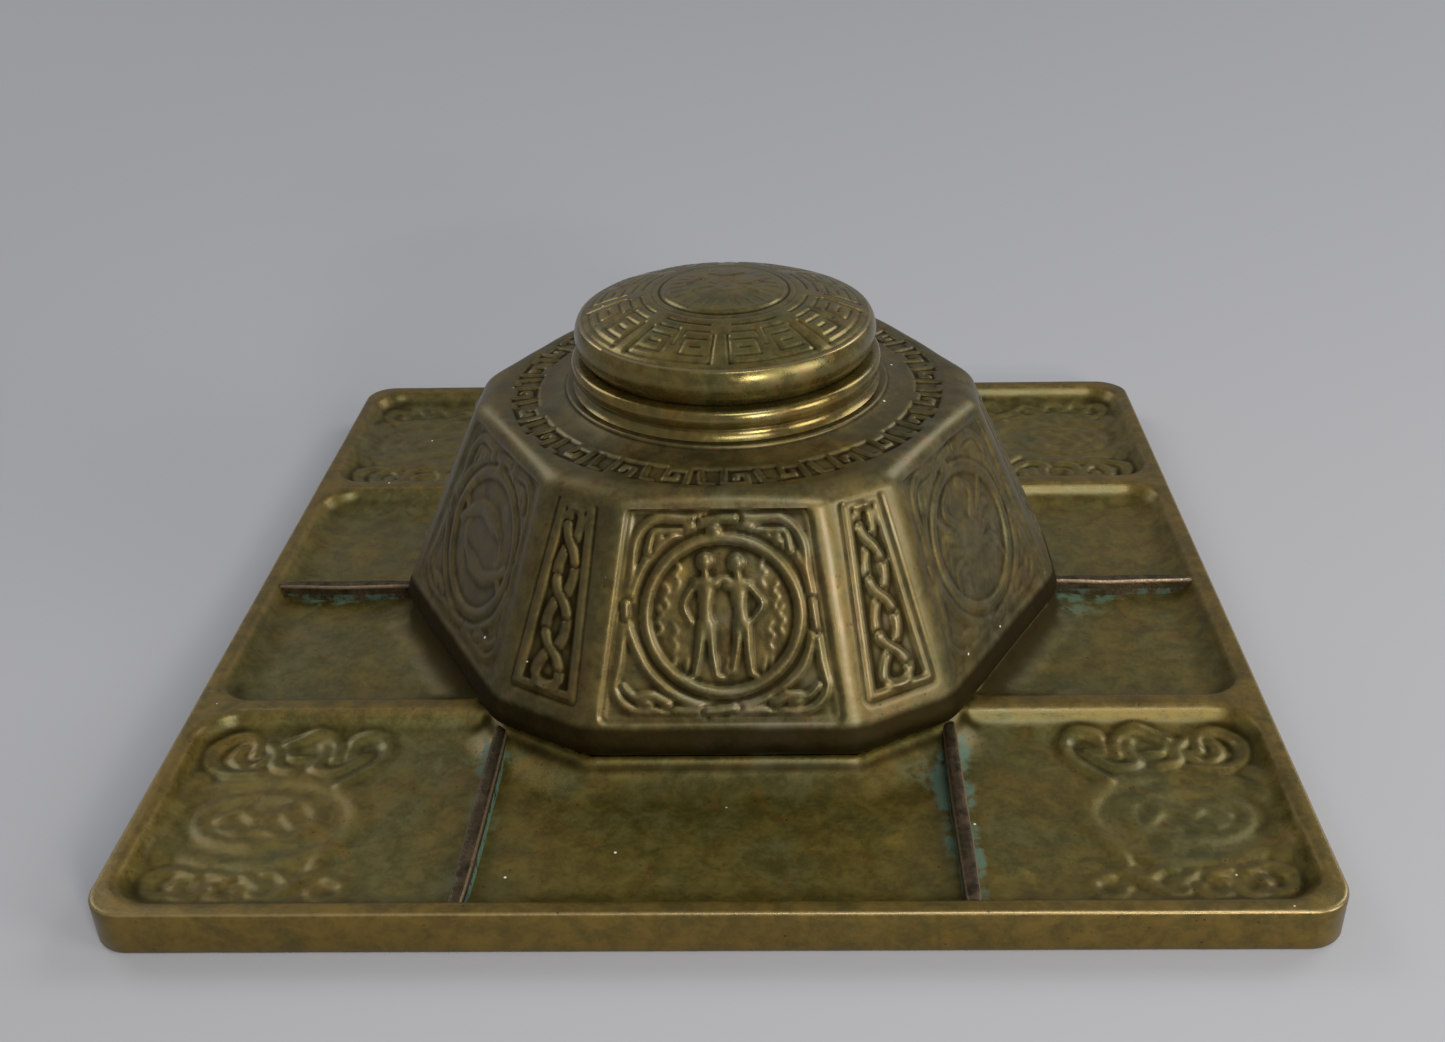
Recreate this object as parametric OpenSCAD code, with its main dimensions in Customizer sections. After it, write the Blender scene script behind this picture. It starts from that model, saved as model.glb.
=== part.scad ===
// Desk inkwell on a square pen tray. Millimetres, +Z up, origin under the middle of the tray.

/* [Tray] */
// Side of the square tray
tray_side = 254; // [212:1:305]
// Height of the rim above the desk
tray_height = 10.4; // [10:0.2:14]
// Radius of the tray's corners on plan
tray_corner_r = 8.5; // [4:0.5:14]
// Width of the flat lip around the tray
lip_w = 4.5; // [3:0.5:7]
// Bevel along the lip's outer edge
lip_bevel = 0.7; // [0.3:0.1:1.5]
// Depth of the troughs below the rim
trough_depth = 5; // [4.5:0.1:6]
// Width of the hollow curve that leads down into a trough
cove_w = 8; // [4:0.5:10]
// Corner radius of the troughs on plan
trough_corner_r = 9; // [5:0.5:12]
// Thickness of the casting
tray_skin = 2.4; // [1.8:0.1:3]
// Width of the band that the tray rests on
foot_band = 5; // [3:0.5:8]
// Distance from the tray's middle to the middle of a ridge
ridge_offset = 56; // [48:1:64]
// Width of a ridge's crest
ridge_w = 6; // [4:0.5:8]
// Margin of the plateau around the well's foot
plateau_margin = 2; // [1.5:0.5:4]
// Width of the slope around the plateau
plateau_slope = 4; // [2:0.5:6]
// Depth of the seat that the well stands in
seat_depth = 0.8; // [0.5:0.1:1.2]
// Side clearance of the well in its seat
seat_gap = 0.5; // [0.3:0.1:1]

/* [Dividers] */
// Thickness of the strips in the front and back troughs
long_strip_t = 3.8; // [2.5:0.1:5]
// Thickness of the strips in the side troughs
short_strip_t = 3.2; // [2.5:0.1:5]

/* [Well] */
// Width across the wide faces at the widest edge
well_width = 159.8; // [134:1:192]
// Width across the wide faces at the shoulder
shoulder_width = 116.2; // [106:1:140]
// Height of the shoulder above the tray's rim
shoulder_height = 55.6; // [46:0.5:67]
// Height of the widest edge above the tray's rim
widest_height = 5; // [3:0.5:8]
// How far the foot is tucked in under the widest edge
foot_tuck = 4.4; // [3:0.2:6]
// Height of the thin gap that shows between the well and the plateau
foot_gap = 0.3; // [0.2:0.1:0.8]
// Half the angle that a wide face takes up on plan
wide_half_angle = 21.4; // [18:0.2:24]
// Radius of the rounded shoulder
shoulder_r = 4.5; // [2:0.5:6]
// Wall thickness of the well
well_wall = 3; // [2:0.1:4]
// Rise of the shoulder from its edge to the neck
shoulder_rise = 2.6; // [1.5:0.1:4]

/* [Neck and lid] */
// Radius of the neck ring's bore
neck_bore_r = 31.5; // [28:0.5:38]
// Thickness of the neck ring at its fullest
ring_t = 6.75; // [5:0.25:9]
// Height of the neck ring
ring_h = 7.2; // [6:0.2:9]
// Bulge of the neck ring's side
ring_bulge = 1.2; // [0.6:0.1:2]
// How far the lid's rim stands back from the ring's side
lid_setback = 1.35; // [0.5:0.05:3]
// Height of the lid's rim
lid_rim_h = 9; // [7:0.5:12]
// Radius of the lid rim's section
lid_rim_r = 6.5; // [5:0.5:9]
// Rise of the lid's dome above its rim
dome_rise = 7.5; // [5:0.5:12]
// Thickness of the lid
lid_wall = 2.2; // [1.6:0.1:3]
// Gap between the closed lid and the neck ring
lid_gap = 0.2; // [0.1:0.05:0.4]
// Depth of the lip that centres the lid in the ring
spigot_h = 2; // [1.5:0.1:3]
// Clearance around that lip
spigot_gap = 0.5; // [0.4:0.05:0.8]

/* [Ink pot] */
// Outer radius of the pot's body
pot_r = 26; // [20:0.5:28]
// Wall thickness of the pot
pot_wall = 2.5; // [2:0.1:4]
// Depth of the pot below its flange
pot_depth = 40; // [25:1:46]
// Thickness of the pot's flange
flange_h = 2.2; // [1.6:0.1:3]
// Clearance around the pot and its flange
pot_gap = 0.6; // [0.3:0.1:1.2]

/* [Hinge] */
// Width of the whole hinge
hinge_w = 18; // [14:0.5:24]
// Outer radius of the knuckles
knuckle_r = 2.4; // [2:0.1:3.2]
// Diameter of the hinge pin
pin_d = 2; // [1.6:0.1:2.6]
// Radial clearance of the pin in the knuckles
pin_gap = 0.04; // [0.02:0.01:0.08]
// Gap between neighbouring knuckles
knuckle_gap = 0.25; // [0.15:0.05:0.5]
// Distance from the ring's side to the hinge's axis
hinge_stand_off = 2.6; // [2.4:0.1:4]

/* [Base] */
// Thickness of the plate that closes the well from below
plate_t = 2; // [1.5:0.1:3]
// How far the plate is set up inside the foot
plate_recess = 0.6; // [0.3:0.1:1]
// Clearance around the plate
plate_gap = 0.3; // [0.2:0.1:0.6]
// Diameter of the screws that hold the plate
screw_d = 4; // [3:0.5:5]
// Number of those screws
screw_n = 3; // [3, 6]
// Length of the screws below their heads
screw_l = 12; // [8:1:15]

/* [Hidden] */
$fn = 72;
hull_fn = 32;
cut = 1;          // how far a cutting shape runs past the face that it cuts
film = 0.01;      // thickness of the plates that a hull is stretched over
cove_steps = 5;   // flats in a cove
arc_steps = 8;    // flats in a turned curve

// tray
half = tray_side / 2;
trough_z = tray_height - trough_depth;
seat_z = tray_height - seat_depth;
trough_edge = half - lip_w;
ridge_out = ridge_offset + ridge_w / 2;
ridge_in = ridge_offset - ridge_w / 2;

// well
widest_a = well_width / 2;
foot_a = widest_a - foot_tuck;
shoulder_a = shoulder_width / 2;
widest_z = tray_height + widest_height;
shoulder_z = tray_height + shoulder_height;
lean = atan((widest_a - shoulder_a) / (shoulder_z - widest_z));
slant_wall = well_wall / cos(lean);
foot_z = tray_height + foot_gap;
plateau_a = foot_a + plateau_margin;
plateau_corner = plateau_a / cos(wide_half_angle);
strip_x = plateau_corner * cos(30 + wide_half_angle);
shoulder_top = shoulder_z + shoulder_r * (1 - sin(lean)) * 0.5;
neck_z = shoulder_top + shoulder_rise;

// neck, lid and pot
ring_r = neck_bore_r + ring_t;
ring_top = neck_z + ring_h;
lid_z = ring_top + lid_gap;
lid_r = ring_r - lid_setback;
crease_z = lid_z + lid_rim_h;
rim_equator_z = lid_z + lid_rim_h * 0.58;
crease_r = lid_r - lid_rim_r + sqrt(pow(lid_rim_r, 2) - pow(crease_z - rim_equator_z, 2));
lid_foot_r = lid_r - lid_rim_r + sqrt(pow(lid_rim_r, 2) - pow(rim_equator_z - lid_z, 2));
dome_r = (pow(crease_r, 2) + pow(dome_rise, 2)) / (2 * dome_rise);
spigot_r = neck_bore_r - spigot_gap;
flange_r = neck_bore_r - pot_gap;
flange_z = neck_z - flange_h / 2;
pot_z = flange_z - pot_depth;
pot_bore_r = pot_r + pot_gap;

// hinge
axis_y = ring_r + hinge_stand_off;
axis_z = ring_top;
leaf_t = 2.4;     // how deep the leaves are let into the ring and the lid
ring_seat_y = ring_r - leaf_t;
lid_seat_y = lid_r - leaf_t;
leaf_y = axis_y - knuckle_r - 0.3;
centre_w = hinge_w / 3;
web_low = neck_z + 0.9;
web_high = axis_z - knuckle_r - 0.6;
lug_top = axis_z + knuckle_r + 2.2;
pin_head_h = 0.8;
pin_head_r = pin_d / 2 + 0.6;

// base
plate_z = seat_z + plate_recess;
plate_a = foot_a - well_wall - plate_gap;
screw_ring_r = plate_a - screw_d * 1.1;
screw_head_r = screw_d * 0.9;
screw_head_h = screw_d * 0.35;
boss_r = screw_d;
boss_h = screw_l + 8;

// Corners of a twelve-sided outline with six wide faces at the given apothem
function twelve(a) = [for (k = [0:5], s = [-1, 1])
    let (turn = -90 + 60 * k + s * wide_half_angle)
    a / cos(wide_half_angle) * [cos(turn), sin(turn)]];

// Points along an arc about (x, y)
function arc(x, y, r, from, to, n = arc_steps) = [for (i = [0:n])
    let (t = from + (to - from) * i / n) [x + r * cos(t), y + r * sin(t)]];

// Thin twelve-sided plate at height z
module twelve_film(a, z) {
    translate([0, 0, z]) linear_extrude(film) polygon(twelve(a));
}

// Outline of a square with round corners
module round_square(side, r) {
    square([side - 2 * r, side], center = true);
    square([side, side - 2 * r], center = true);
    for (x = [-1, 1], y = [-1, 1])
        translate([x * (side / 2 - r), y * (side / 2 - r)]) circle(r);
}

// ---- tray ----

// Block that the tray is cut from
module tray_block() {
    corner = half - tray_corner_r;
    hull() for (x = [-corner, corner], y = [-corner, corner]) translate([x, y, 0]) {
        cylinder(h = tray_height - lip_bevel, r = tray_corner_r, $fn = hull_fn);
        cylinder(h = tray_height, r = tray_corner_r - lip_bevel, $fn = hull_fn);
    }
}

// Space of one trough, between two opposite corners on plan
module trough(low, high) {
    hull() for (i = [0:cove_steps]) {
        t = 90 * i / cove_steps;
        inset = cove_w * (1 - cos(t));
        r = max(trough_corner_r - inset, cut);
        for (x = [low.x + inset + r, high.x - inset - r])
            for (y = [low.y + inset + r, high.y - inset - r])
                translate([x, y, tray_height - trough_depth * sin(t)])
                    cylinder(h = i == 0 ? cut : film, r = r, $fn = hull_fn);
    }
}

// Solid that the troughs leave standing around the well's seat
module plateau() {
    hull() {
        twelve_film(plateau_a + plateau_slope, trough_z - film);
        twelve_film(plateau_a, tray_height + cut);
    }
}

module front_trough() {
    trough([-trough_edge, -trough_edge], [trough_edge, -ridge_out]);
}

module side_trough() {
    trough([0, -ridge_in], [trough_edge, ridge_in]);
}

module tray() {
    color([0.34, 0.31, 0.20]) difference() {
        tray_block();
        difference() {
            for (turn = [0, 180]) rotate(turn) {
                front_trough();
                side_trough();
            }
            plateau();
        }
        translate([0, 0, seat_z]) linear_extrude(seat_depth + cut)
            polygon(twelve(foot_a + seat_gap));
        translate([0, 0, -cut]) linear_extrude(trough_z - tray_skin + cut)
            round_square(tray_side - 2 * foot_band, tray_corner_r - foot_band / 2);
        translate([0, 0, -cut]) linear_extrude(seat_z - tray_skin + cut)
            polygon(twelve(plateau_a - tray_skin));
    }
}

// ---- dividers ----

// Strip across the front trough, from a corner of the plateau to the rim
module long_strip(side) {
    color([0.45, 0.30, 0.22]) difference() {
        intersection() {
            translate([side * strip_x - long_strip_t / 2, -half, 0])
                cube([long_strip_t, half, tray_height]);
            front_trough();
        }
        plateau();
    }
}

// Half-moon strip across the side trough, from the plateau to the rim
module short_strip() {
    color([0.45, 0.30, 0.22]) difference() {
        intersection() {
            translate([0, -short_strip_t / 2, 0]) cube([half, short_strip_t, tray_height]);
            side_trough();
        }
        plateau();
    }
}

module divider_front_left() { long_strip(-1); }
module divider_front_right() { long_strip(1); }
module divider_back_left() { rotate(180) long_strip(1); }
module divider_back_right() { rotate(180) long_strip(-1); }
module divider_left() { rotate(180) short_strip(); }
module divider_right() { short_strip(); }

// ---- well ----

// Rounded shoulder, with its faces moved in and its top moved down
module shoulder_films(move_in, move_down) {
    for (t = [lean, 35, 50, 70, 90])
        twelve_film(shoulder_a - move_in + shoulder_r * (cos(t) - cos(40)),
                    shoulder_top - move_down - 1.2 * shoulder_r * (1 - sin(t)) - film);
}

// Outside of the well: upright foot, rounded tuck, leaning faces and shoulder
module well_outside() {
    translate([0, 0, seat_z]) linear_extrude(foot_z - seat_z + film) polygon(twelve(foot_a));
    hull() {
        for (t = [0:30:90])
            twelve_film(foot_a + foot_tuck * sin(t), foot_z + (widest_z - foot_z) * (1 - cos(t)));
        shoulder_films(0, 0);
    }
}

// Hollow of the well, open below
module well_inside() {
    hull() {
        twelve_film(foot_a - well_wall, seat_z - cut);
        twelve_film(widest_a - slant_wall, widest_z + well_wall / 2);
        shoulder_films(slant_wall, well_wall);
    }
}

// Turned top of the shoulder, from the ornament band up to the neck
module shoulder_crown() {
    band_r = shoulder_a - 3.5;
    rotate_extrude() polygon(concat(
        [[0, shoulder_z - well_wall], [band_r, shoulder_z - well_wall],
         [band_r, shoulder_top - 0.5], [ring_r + 2.8, neck_z - 0.9]],
        arc(ring_r + 0.95, neck_z - 0.9, 0.9, 0, 90),
        [[0, neck_z]]));
}

module well_housing() {
    color([0.36, 0.34, 0.22]) difference() {
        union() {
            well_outside();
            shoulder_crown();
        }
        difference() {
            well_inside();
            at_screws() translate([0, 0, plate_z + plate_t]) cylinder(h = boss_h, r = boss_r);
        }
        translate([0, 0, shoulder_z - 3 * well_wall]) cylinder(h = 6 * well_wall, r = pot_bore_r);
        translate([0, 0, flange_z]) cylinder(h = 3 * well_wall, r = neck_bore_r);
        at_screws() translate([0, 0, plate_z + plate_t - cut])
            cylinder(h = screw_l + cut, r = screw_d / 2);
    }
}

// Repeats its children at each screw of the base plate
module at_screws() {
    for (i = [0:screw_n - 1]) rotate(-90 + 360 * i / screw_n) translate([screw_ring_r, 0, 0])
        children();
}

module base_plate() {
    color([0.40, 0.33, 0.20]) difference() {
        translate([0, 0, plate_z]) linear_extrude(plate_t) polygon(twelve(plate_a));
        at_screws() translate([0, 0, plate_z - cut]) cylinder(h = plate_t + 2 * cut, r = screw_d / 2);
        at_screws() translate([0, 0, plate_z - cut]) cylinder(h = screw_head_h + cut, r = screw_head_r);
    }
}

module base_screws() {
    color([0.62, 0.52, 0.30]) at_screws() translate([0, 0, plate_z]) difference() {
        union() {
            cylinder(h = screw_head_h, r = screw_head_r);
            cylinder(h = screw_l, r = screw_d / 2);
        }
        translate([-screw_head_r - cut, -screw_d * 0.1, -cut])
            cube([2 * screw_head_r + 2 * cut, screw_d * 0.2, cut + screw_head_h / 2]);
    }
}

module neck_ring() {
    side_r = (pow(ring_h / 2, 2) + pow(ring_bulge, 2)) / (2 * ring_bulge);
    sweep = asin(ring_h / 2 / side_r);
    color([0.42, 0.38, 0.22]) difference() {
        rotate_extrude() polygon(concat([[neck_bore_r, neck_z]],
            arc(ring_r - side_r, neck_z + ring_h / 2, side_r, -sweep, sweep),
            [[neck_bore_r, ring_top]]));
        leaf_seat(hinge_w, ring_seat_y, neck_z - cut, ring_top + cut);
    }
}

// ---- hinge ----

// Cut that gives a leaf its flat seat, over a height from low to high
module leaf_seat(w, y, low, high) {
    translate([-w / 2, y, low]) cube([w, 2 * axis_y, high - low]);
}

// Slice of the hinge between two places on its axis, with a drawn lug and a bored knuckle
module knuckle(from, to, lug) {
    translate([from, 0, 0]) rotate([90, 0, 90]) linear_extrude(to - from) difference() {
        union() {
            translate([axis_y, axis_z]) circle(knuckle_r);
            polygon(lug);
        }
        translate([axis_y, axis_z]) circle(pin_d / 2 + pin_gap);
    }
}

module hinge_leaf_well() {
    inner = centre_w / 2 + knuckle_gap;
    lug = [[ring_seat_y, web_low], [ring_seat_y, axis_z], [axis_y - pin_d, axis_z],
           [axis_y, axis_z - pin_d], [axis_y + knuckle_r, axis_z], [axis_y + knuckle_r, web_high],
           [axis_y, web_low]];
    color([0.42, 0.38, 0.22]) {
        knuckle(-hinge_w / 2, -inner, lug);
        knuckle(inner, hinge_w / 2, lug);
        translate([-hinge_w / 2, ring_seat_y, neck_z])
            cube([hinge_w, leaf_y - ring_seat_y, ring_h]);
        translate([-hinge_w / 2, ring_seat_y, web_low])
            cube([hinge_w, axis_y - ring_seat_y, web_high - web_low]);
    }
}

module hinge_leaf_lid() {
    lug = [[lid_seat_y, lid_z], [axis_y - pin_d, lid_z], [axis_y, axis_z + pin_d],
           [axis_y, axis_z + knuckle_r], [lid_seat_y, lug_top]];
    color([0.42, 0.38, 0.22]) knuckle(-centre_w / 2, centre_w / 2, lug);
}

module hinge_pin() {
    color([0.62, 0.52, 0.30]) translate([-hinge_w / 2, axis_y, axis_z]) rotate([0, 90, 0]) {
        cylinder(h = hinge_w, r = pin_d / 2);
        translate([0, 0, -pin_head_h]) cylinder(h = pin_head_h, r1 = pin_d / 2, r2 = pin_head_r);
        translate([0, 0, hinge_w]) cylinder(h = pin_head_h, r1 = pin_head_r, r2 = pin_d / 2);
    }
}

// ---- lid and pot ----

module lid() {
    rim_x = lid_r - lid_rim_r;
    low = -asin((rim_equator_z - lid_z) / lid_rim_r);
    high = asin((crease_z - rim_equator_z) / lid_rim_r);
    dome_z = crease_z + dome_rise - dome_r;
    inner_r = dome_r - lid_wall;
    hollow_r = spigot_r - lid_wall;
    color([0.38, 0.36, 0.22]) difference() {
        rotate_extrude() polygon(concat(
            [[hollow_r, lid_z - spigot_h], [spigot_r, lid_z - spigot_h], [spigot_r, lid_z]],
            arc(rim_x, rim_equator_z, lid_rim_r, low, high),
            arc(0, dome_z, dome_r, acos(crease_r / dome_r), 90),
            arc(0, dome_z, inner_r, 90, acos(hollow_r / inner_r))));
        leaf_seat(centre_w, lid_seat_y, lid_z - cut, lug_top);
    }
}

module ink_pot() {
    round_r = pot_wall * 2;
    inner_r = pot_r - pot_wall;
    color([0.75, 0.82, 0.80, 0.4]) rotate_extrude() polygon(concat(
        [[0, pot_z], [pot_r - round_r, pot_z]],
        arc(pot_r - round_r, pot_z + round_r, round_r, -90, 0),
        [[pot_r, flange_z], [flange_r, flange_z], [flange_r, flange_z + flange_h],
         [inner_r, flange_z + flange_h]],
        arc(inner_r - pot_wall, pot_z + 2 * pot_wall, pot_wall, 0, -90),
        [[0, pot_z + pot_wall]]));
}

tray();
divider_front_left();
divider_front_right();
divider_back_left();
divider_back_right();
divider_left();
divider_right();
well_housing();
neck_ring();
hinge_leaf_well();
hinge_pin();
base_plate();
base_screws();
lid();
hinge_leaf_lid();
ink_pot();
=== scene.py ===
"""Looks of a cast bronze desk inkwell on a square pen tray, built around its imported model.

Every shape is worked in millimetres in the model's own frame and put into Blender in metres.
"""

import logging
import math
from dataclasses import dataclass
from enum import Enum

import bmesh
import bpy
import numpy as np
from mathutils import Matrix, Vector


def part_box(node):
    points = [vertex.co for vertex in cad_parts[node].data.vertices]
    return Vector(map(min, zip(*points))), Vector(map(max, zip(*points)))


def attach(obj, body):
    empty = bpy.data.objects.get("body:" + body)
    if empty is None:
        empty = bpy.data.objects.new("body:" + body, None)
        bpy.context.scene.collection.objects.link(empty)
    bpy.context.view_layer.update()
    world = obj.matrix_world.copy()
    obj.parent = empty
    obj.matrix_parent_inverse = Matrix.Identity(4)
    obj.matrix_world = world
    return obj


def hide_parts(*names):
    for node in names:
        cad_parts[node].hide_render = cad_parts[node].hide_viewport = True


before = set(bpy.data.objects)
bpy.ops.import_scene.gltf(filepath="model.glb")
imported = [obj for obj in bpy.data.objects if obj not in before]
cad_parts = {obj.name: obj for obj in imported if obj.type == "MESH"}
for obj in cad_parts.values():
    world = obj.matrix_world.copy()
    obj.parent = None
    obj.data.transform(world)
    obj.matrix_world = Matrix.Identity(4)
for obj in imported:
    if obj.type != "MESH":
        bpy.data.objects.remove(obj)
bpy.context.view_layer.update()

log = logging.getLogger("inkwell")
logging.basicConfig(level=logging.INFO, format="%(name)s: %(message)s")

MM = 0.001
Colour = tuple[float, float, float]
Points = list[tuple[float, float]]


def span(node: str) -> tuple[np.ndarray, np.ndarray]:
    """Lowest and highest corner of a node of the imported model, in millimetres.

    Args:
        node: Name of the node.

    Returns:
        The two corners.
    """
    low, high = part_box(node)
    return np.array(low) / MM, np.array(high) / MM


# ---- Working with heights and curves ----


def blur(values: np.ndarray, sigma: float, axis: int, wrap: bool = False) -> np.ndarray:
    """Smooths an array along one axis with a Gaussian.

    Args:
        values: Array to smooth.
        sigma: Width of the Gaussian, in samples.
        axis: Axis to smooth along.
        wrap: True where the axis closes on itself.

    Returns:
        The smoothed array.
    """
    reach = max(1, int(3 * sigma + 0.5))
    weights = np.exp(-0.5 * (np.arange(-reach, reach + 1) / sigma) ** 2)
    weights /= weights.sum()
    moved = np.moveaxis(values, axis, 0)
    ends = (moved[-reach:], moved[:reach]) if wrap else (
        np.repeat(moved[:1], reach, 0), np.repeat(moved[-1:], reach, 0))
    padded = np.concatenate([ends[0], moved, ends[1]])
    total = sum(w * padded[i:i + len(moved)] for i, w in enumerate(weights))
    return np.moveaxis(total, 0, axis)


def waver(shape: tuple[int, int], sigma: float, seed: int, wrap: bool = False) -> np.ndarray:
    """Soft random unevenness over a grid.

    Args:
        shape: Rows and columns of the grid.
        sigma: Size of the swells, in samples.
        seed: Seed of the random draw.
        wrap: True where the columns close on themselves.

    Returns:
        Values with a spread of one.
    """
    draw = np.random.default_rng(seed).normal(size=shape)
    soft = blur(blur(draw, sigma, 0), sigma, 1, wrap)
    return soft / soft.std()


def step(value: np.ndarray, low: float, high: float) -> np.ndarray:
    """Smooth step from 0 at low to 1 at high."""
    t = np.clip((value - low) / (high - low), 0, 1)
    return t * t * (3 - 2 * t)


def curve(points: Points, closed: bool = False, per_span: int = 7) -> np.ndarray:
    """Smooth line through points.

    Args:
        points: Points that the line passes through.
        closed: True for a loop.
        per_span: Samples between two points.

    Returns:
        Points along the line.
    """
    p = np.array(points, float)
    if closed:
        p = np.vstack([p[-1], p, p[:2]])
    else:
        p = np.vstack([2 * p[0] - p[1], p, 2 * p[-1] - p[-2]])
    t = np.arange(per_span)[:, None] / per_span
    parts = []
    for a, b, c, d in zip(p, p[1:], p[2:], p[3:]):
        parts.append(0.5 * (2 * b + (c - a) * t + (2 * a - 5 * b + 4 * c - d) * t ** 2
                            + (3 * b - a - 3 * c + d) * t ** 3))
    return np.vstack([*parts, p[-2][None]])


def arc(x: float, y: float, r: float, start: float, end: float, n: int = 12,
        squash: float = 1.0) -> Points:
    """Points along an arc.

    Args:
        x: Centre.
        y: Centre.
        r: Radius.
        start: First angle in degrees.
        end: Last angle in degrees.
        n: Number of steps.
        squash: Height of the arc as a share of its width.

    Returns:
        The points.
    """
    turn = [math.radians(start + (end - start) * i / n) for i in range(n + 1)]
    return [(x + r * math.cos(t), y + squash * r * math.sin(t)) for t in turn]


def frame_distance(across: np.ndarray, along: np.ndarray, low: float, high: float,
                   half_low: float, half_high: float, corner: float) -> np.ndarray:
    """Signed distance to the outline of an upright panel with sloping sides, below 0 inside.

    Args:
        across: Places across the panel.
        along: Places up the panel.
        low: Bottom edge.
        high: Top edge.
        half_low: Half the width at the bottom.
        half_high: Half the width at the top.
        corner: Radius of the corners.

    Returns:
        The distances.
    """
    slope = (half_high - half_low) / (high - low)
    side = (np.abs(across) - half_low - slope * (along - low)) / math.hypot(1, slope) + corner
    end = np.maximum(along - high, low - along) + corner
    return (np.minimum(np.maximum(side, end), 0)
            + np.hypot(np.maximum(side, 0), np.maximum(end, 0)) - corner)


class Relief:
    """Raised and sunk work on a patch of a surface."""

    def __init__(self, across: np.ndarray, along: np.ndarray) -> None:
        """Starts with a plain patch.

        Args:
            across: Places across the patch.
            along: Places up the patch.
        """
        self.across, self.along = across, along
        self.height = np.zeros_like(across)
        self.floor = np.zeros_like(across)

    def sink(self, distance: np.ndarray, depth: float, edge: float) -> None:
        """Lowers the ground inside an outline.

        Args:
            distance: Signed distance to the outline, below 0 inside.
            depth: How far the ground goes down.
            edge: Width of the slope inside the outline.
        """
        drop = depth * step(-distance, 0, edge)
        self.height -= drop
        self.floor -= drop

    def _near(self, line: np.ndarray, margin: float) -> tuple[tuple, np.ndarray, np.ndarray]:
        """Finds the places near a line.

        Args:
            line: Points of the line.
            margin: How far to look.

        Returns:
            Indices of the places, their distance from the line and how far along it they are.
        """
        low, high = line.min(0) - margin, line.max(0) + margin
        at = np.nonzero((self.across > low[0]) & (self.across < high[0])
                        & (self.along > low[1]) & (self.along < high[1]))
        x, y = self.across[at][:, None], self.along[at][:, None]
        a, d = line[:-1], np.diff(line, axis=0)
        t = ((x - a[:, 0]) * d[:, 0] + (y - a[:, 1]) * d[:, 1]) / np.maximum((d ** 2).sum(1), 1e-9)
        t = np.clip(t, 0, 1)
        gap = np.hypot(x - a[:, 0] - t * d[:, 0], y - a[:, 1] - t * d[:, 1])
        best = gap.argmin(1)
        rows = np.arange(len(best))
        return at, gap[rows, best], (best + t[rows, best]) / len(d)

    def stroke(self, line: np.ndarray | Points, half: float, height: float,
               moat: float = 0.0, end_half: float | None = None, power: float = 0.75,
               vein: float = 0.0) -> None:
        """Raises a ribbon along a line, or cuts a groove where the height is below 0.

        Args:
            line: Points of the line.
            half: Half the width.
            height: Height above the ground.
            moat: Width beside the ribbon that is cut clear of what lies under it.
            end_half: Half the width at the end, where it tapers.
            power: How full the section is.
            vein: Depth of a fine line along the middle.
        """
        line = np.array(line, float)
        wide = max(half, end_half or half) + moat
        at, gap, part = self._near(line, wide + 0.1)
        if not len(gap):
            return
        width = half + ((end_half if end_half is not None else half) - half) * part
        body = np.maximum(1 - (gap / width) ** 2, 0) ** power
        if height < 0:
            self.height[at] += height * body
            return
        now = self.height[at]
        if moat:
            clear = gap < width + moat
            now = np.where(clear, np.minimum(now, self.floor[at] - 0.04), now)
        top = self.floor[at] + height * body - vein * np.maximum(1 - (gap / 0.45) ** 2, 0)
        self.height[at] = np.where(body > 0, np.maximum(now, top), now)

    def blob(self, x: float, y: float, half_w: float, half_h: float, height: float,
             turn: float = 0.0, power: float = 0.6) -> None:
        """Raises a rounded swelling.

        Args:
            x: Centre.
            y: Centre.
            half_w: Half its width.
            half_h: Half its height.
            height: How far it stands up.
            turn: Turn in degrees.
            power: How full it is.
        """
        c, s = math.cos(math.radians(turn)), math.sin(math.radians(turn))
        u, v = self.across - x, self.along - y
        q = ((u * c + v * s) / half_w) ** 2 + ((v * c - u * s) / half_h) ** 2
        body = height * np.maximum(1 - q, 0) ** power
        self.height = np.where(q < 1, np.maximum(self.height, self.floor + body), self.height)

    def weave(self, strands: list[np.ndarray], crossings: Points, half: float, height: float,
              moat: float, reach: float, first: int = 0) -> None:
        """Lays ribbons and lets them pass over and under each other in turn.

        Args:
            strands: Lines of the ribbons.
            crossings: Places where two of them cross.
            half: Half a ribbon's width.
            height: Height of a ribbon.
            moat: Gap beside the upper ribbon.
            reach: How far from a crossing the upper ribbon is laid again.
            first: Which ribbon is on top first.
        """
        for line in strands:
            self.stroke(line, half, height)
        for i, (x, y) in enumerate(crossings):
            near = [(line, np.hypot(line[:, 0] - x, line[:, 1] - y)) for line in strands]
            near = [(line, gap) for line, gap in near if gap.min() < half]
            if near:
                line, gap = near[(i + first) % len(near)]
                part = line[max(gap.argmin() - 60, 0):gap.argmin() + 61]
                part = part[np.hypot(part[:, 0] - x, part[:, 1] - y) < reach]
                if len(part) > 1:
                    self.stroke(part, half, height * 1.08, moat=moat)


# ---- Surfaces ----


def normals(grid: np.ndarray, wrap_rows: bool, wrap_cols: bool) -> np.ndarray:
    """Unit normals of a grid of points.

    Args:
        grid: Rows by columns by three.
        wrap_rows: True where the rows close on themselves.
        wrap_cols: True where the columns close on themselves.

    Returns:
        One normal for each point.
    """
    def slope(axis: int, wrap: bool) -> np.ndarray:
        """Change of the points along one axis."""
        if wrap:
            return np.roll(grid, -1, axis) - np.roll(grid, 1, axis)
        return np.gradient(grid, axis=axis)

    n = np.cross(slope(1, wrap_cols), slope(0, wrap_rows))
    return n / np.maximum(np.linalg.norm(n, axis=2, keepdims=True), 1e-9)


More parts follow.
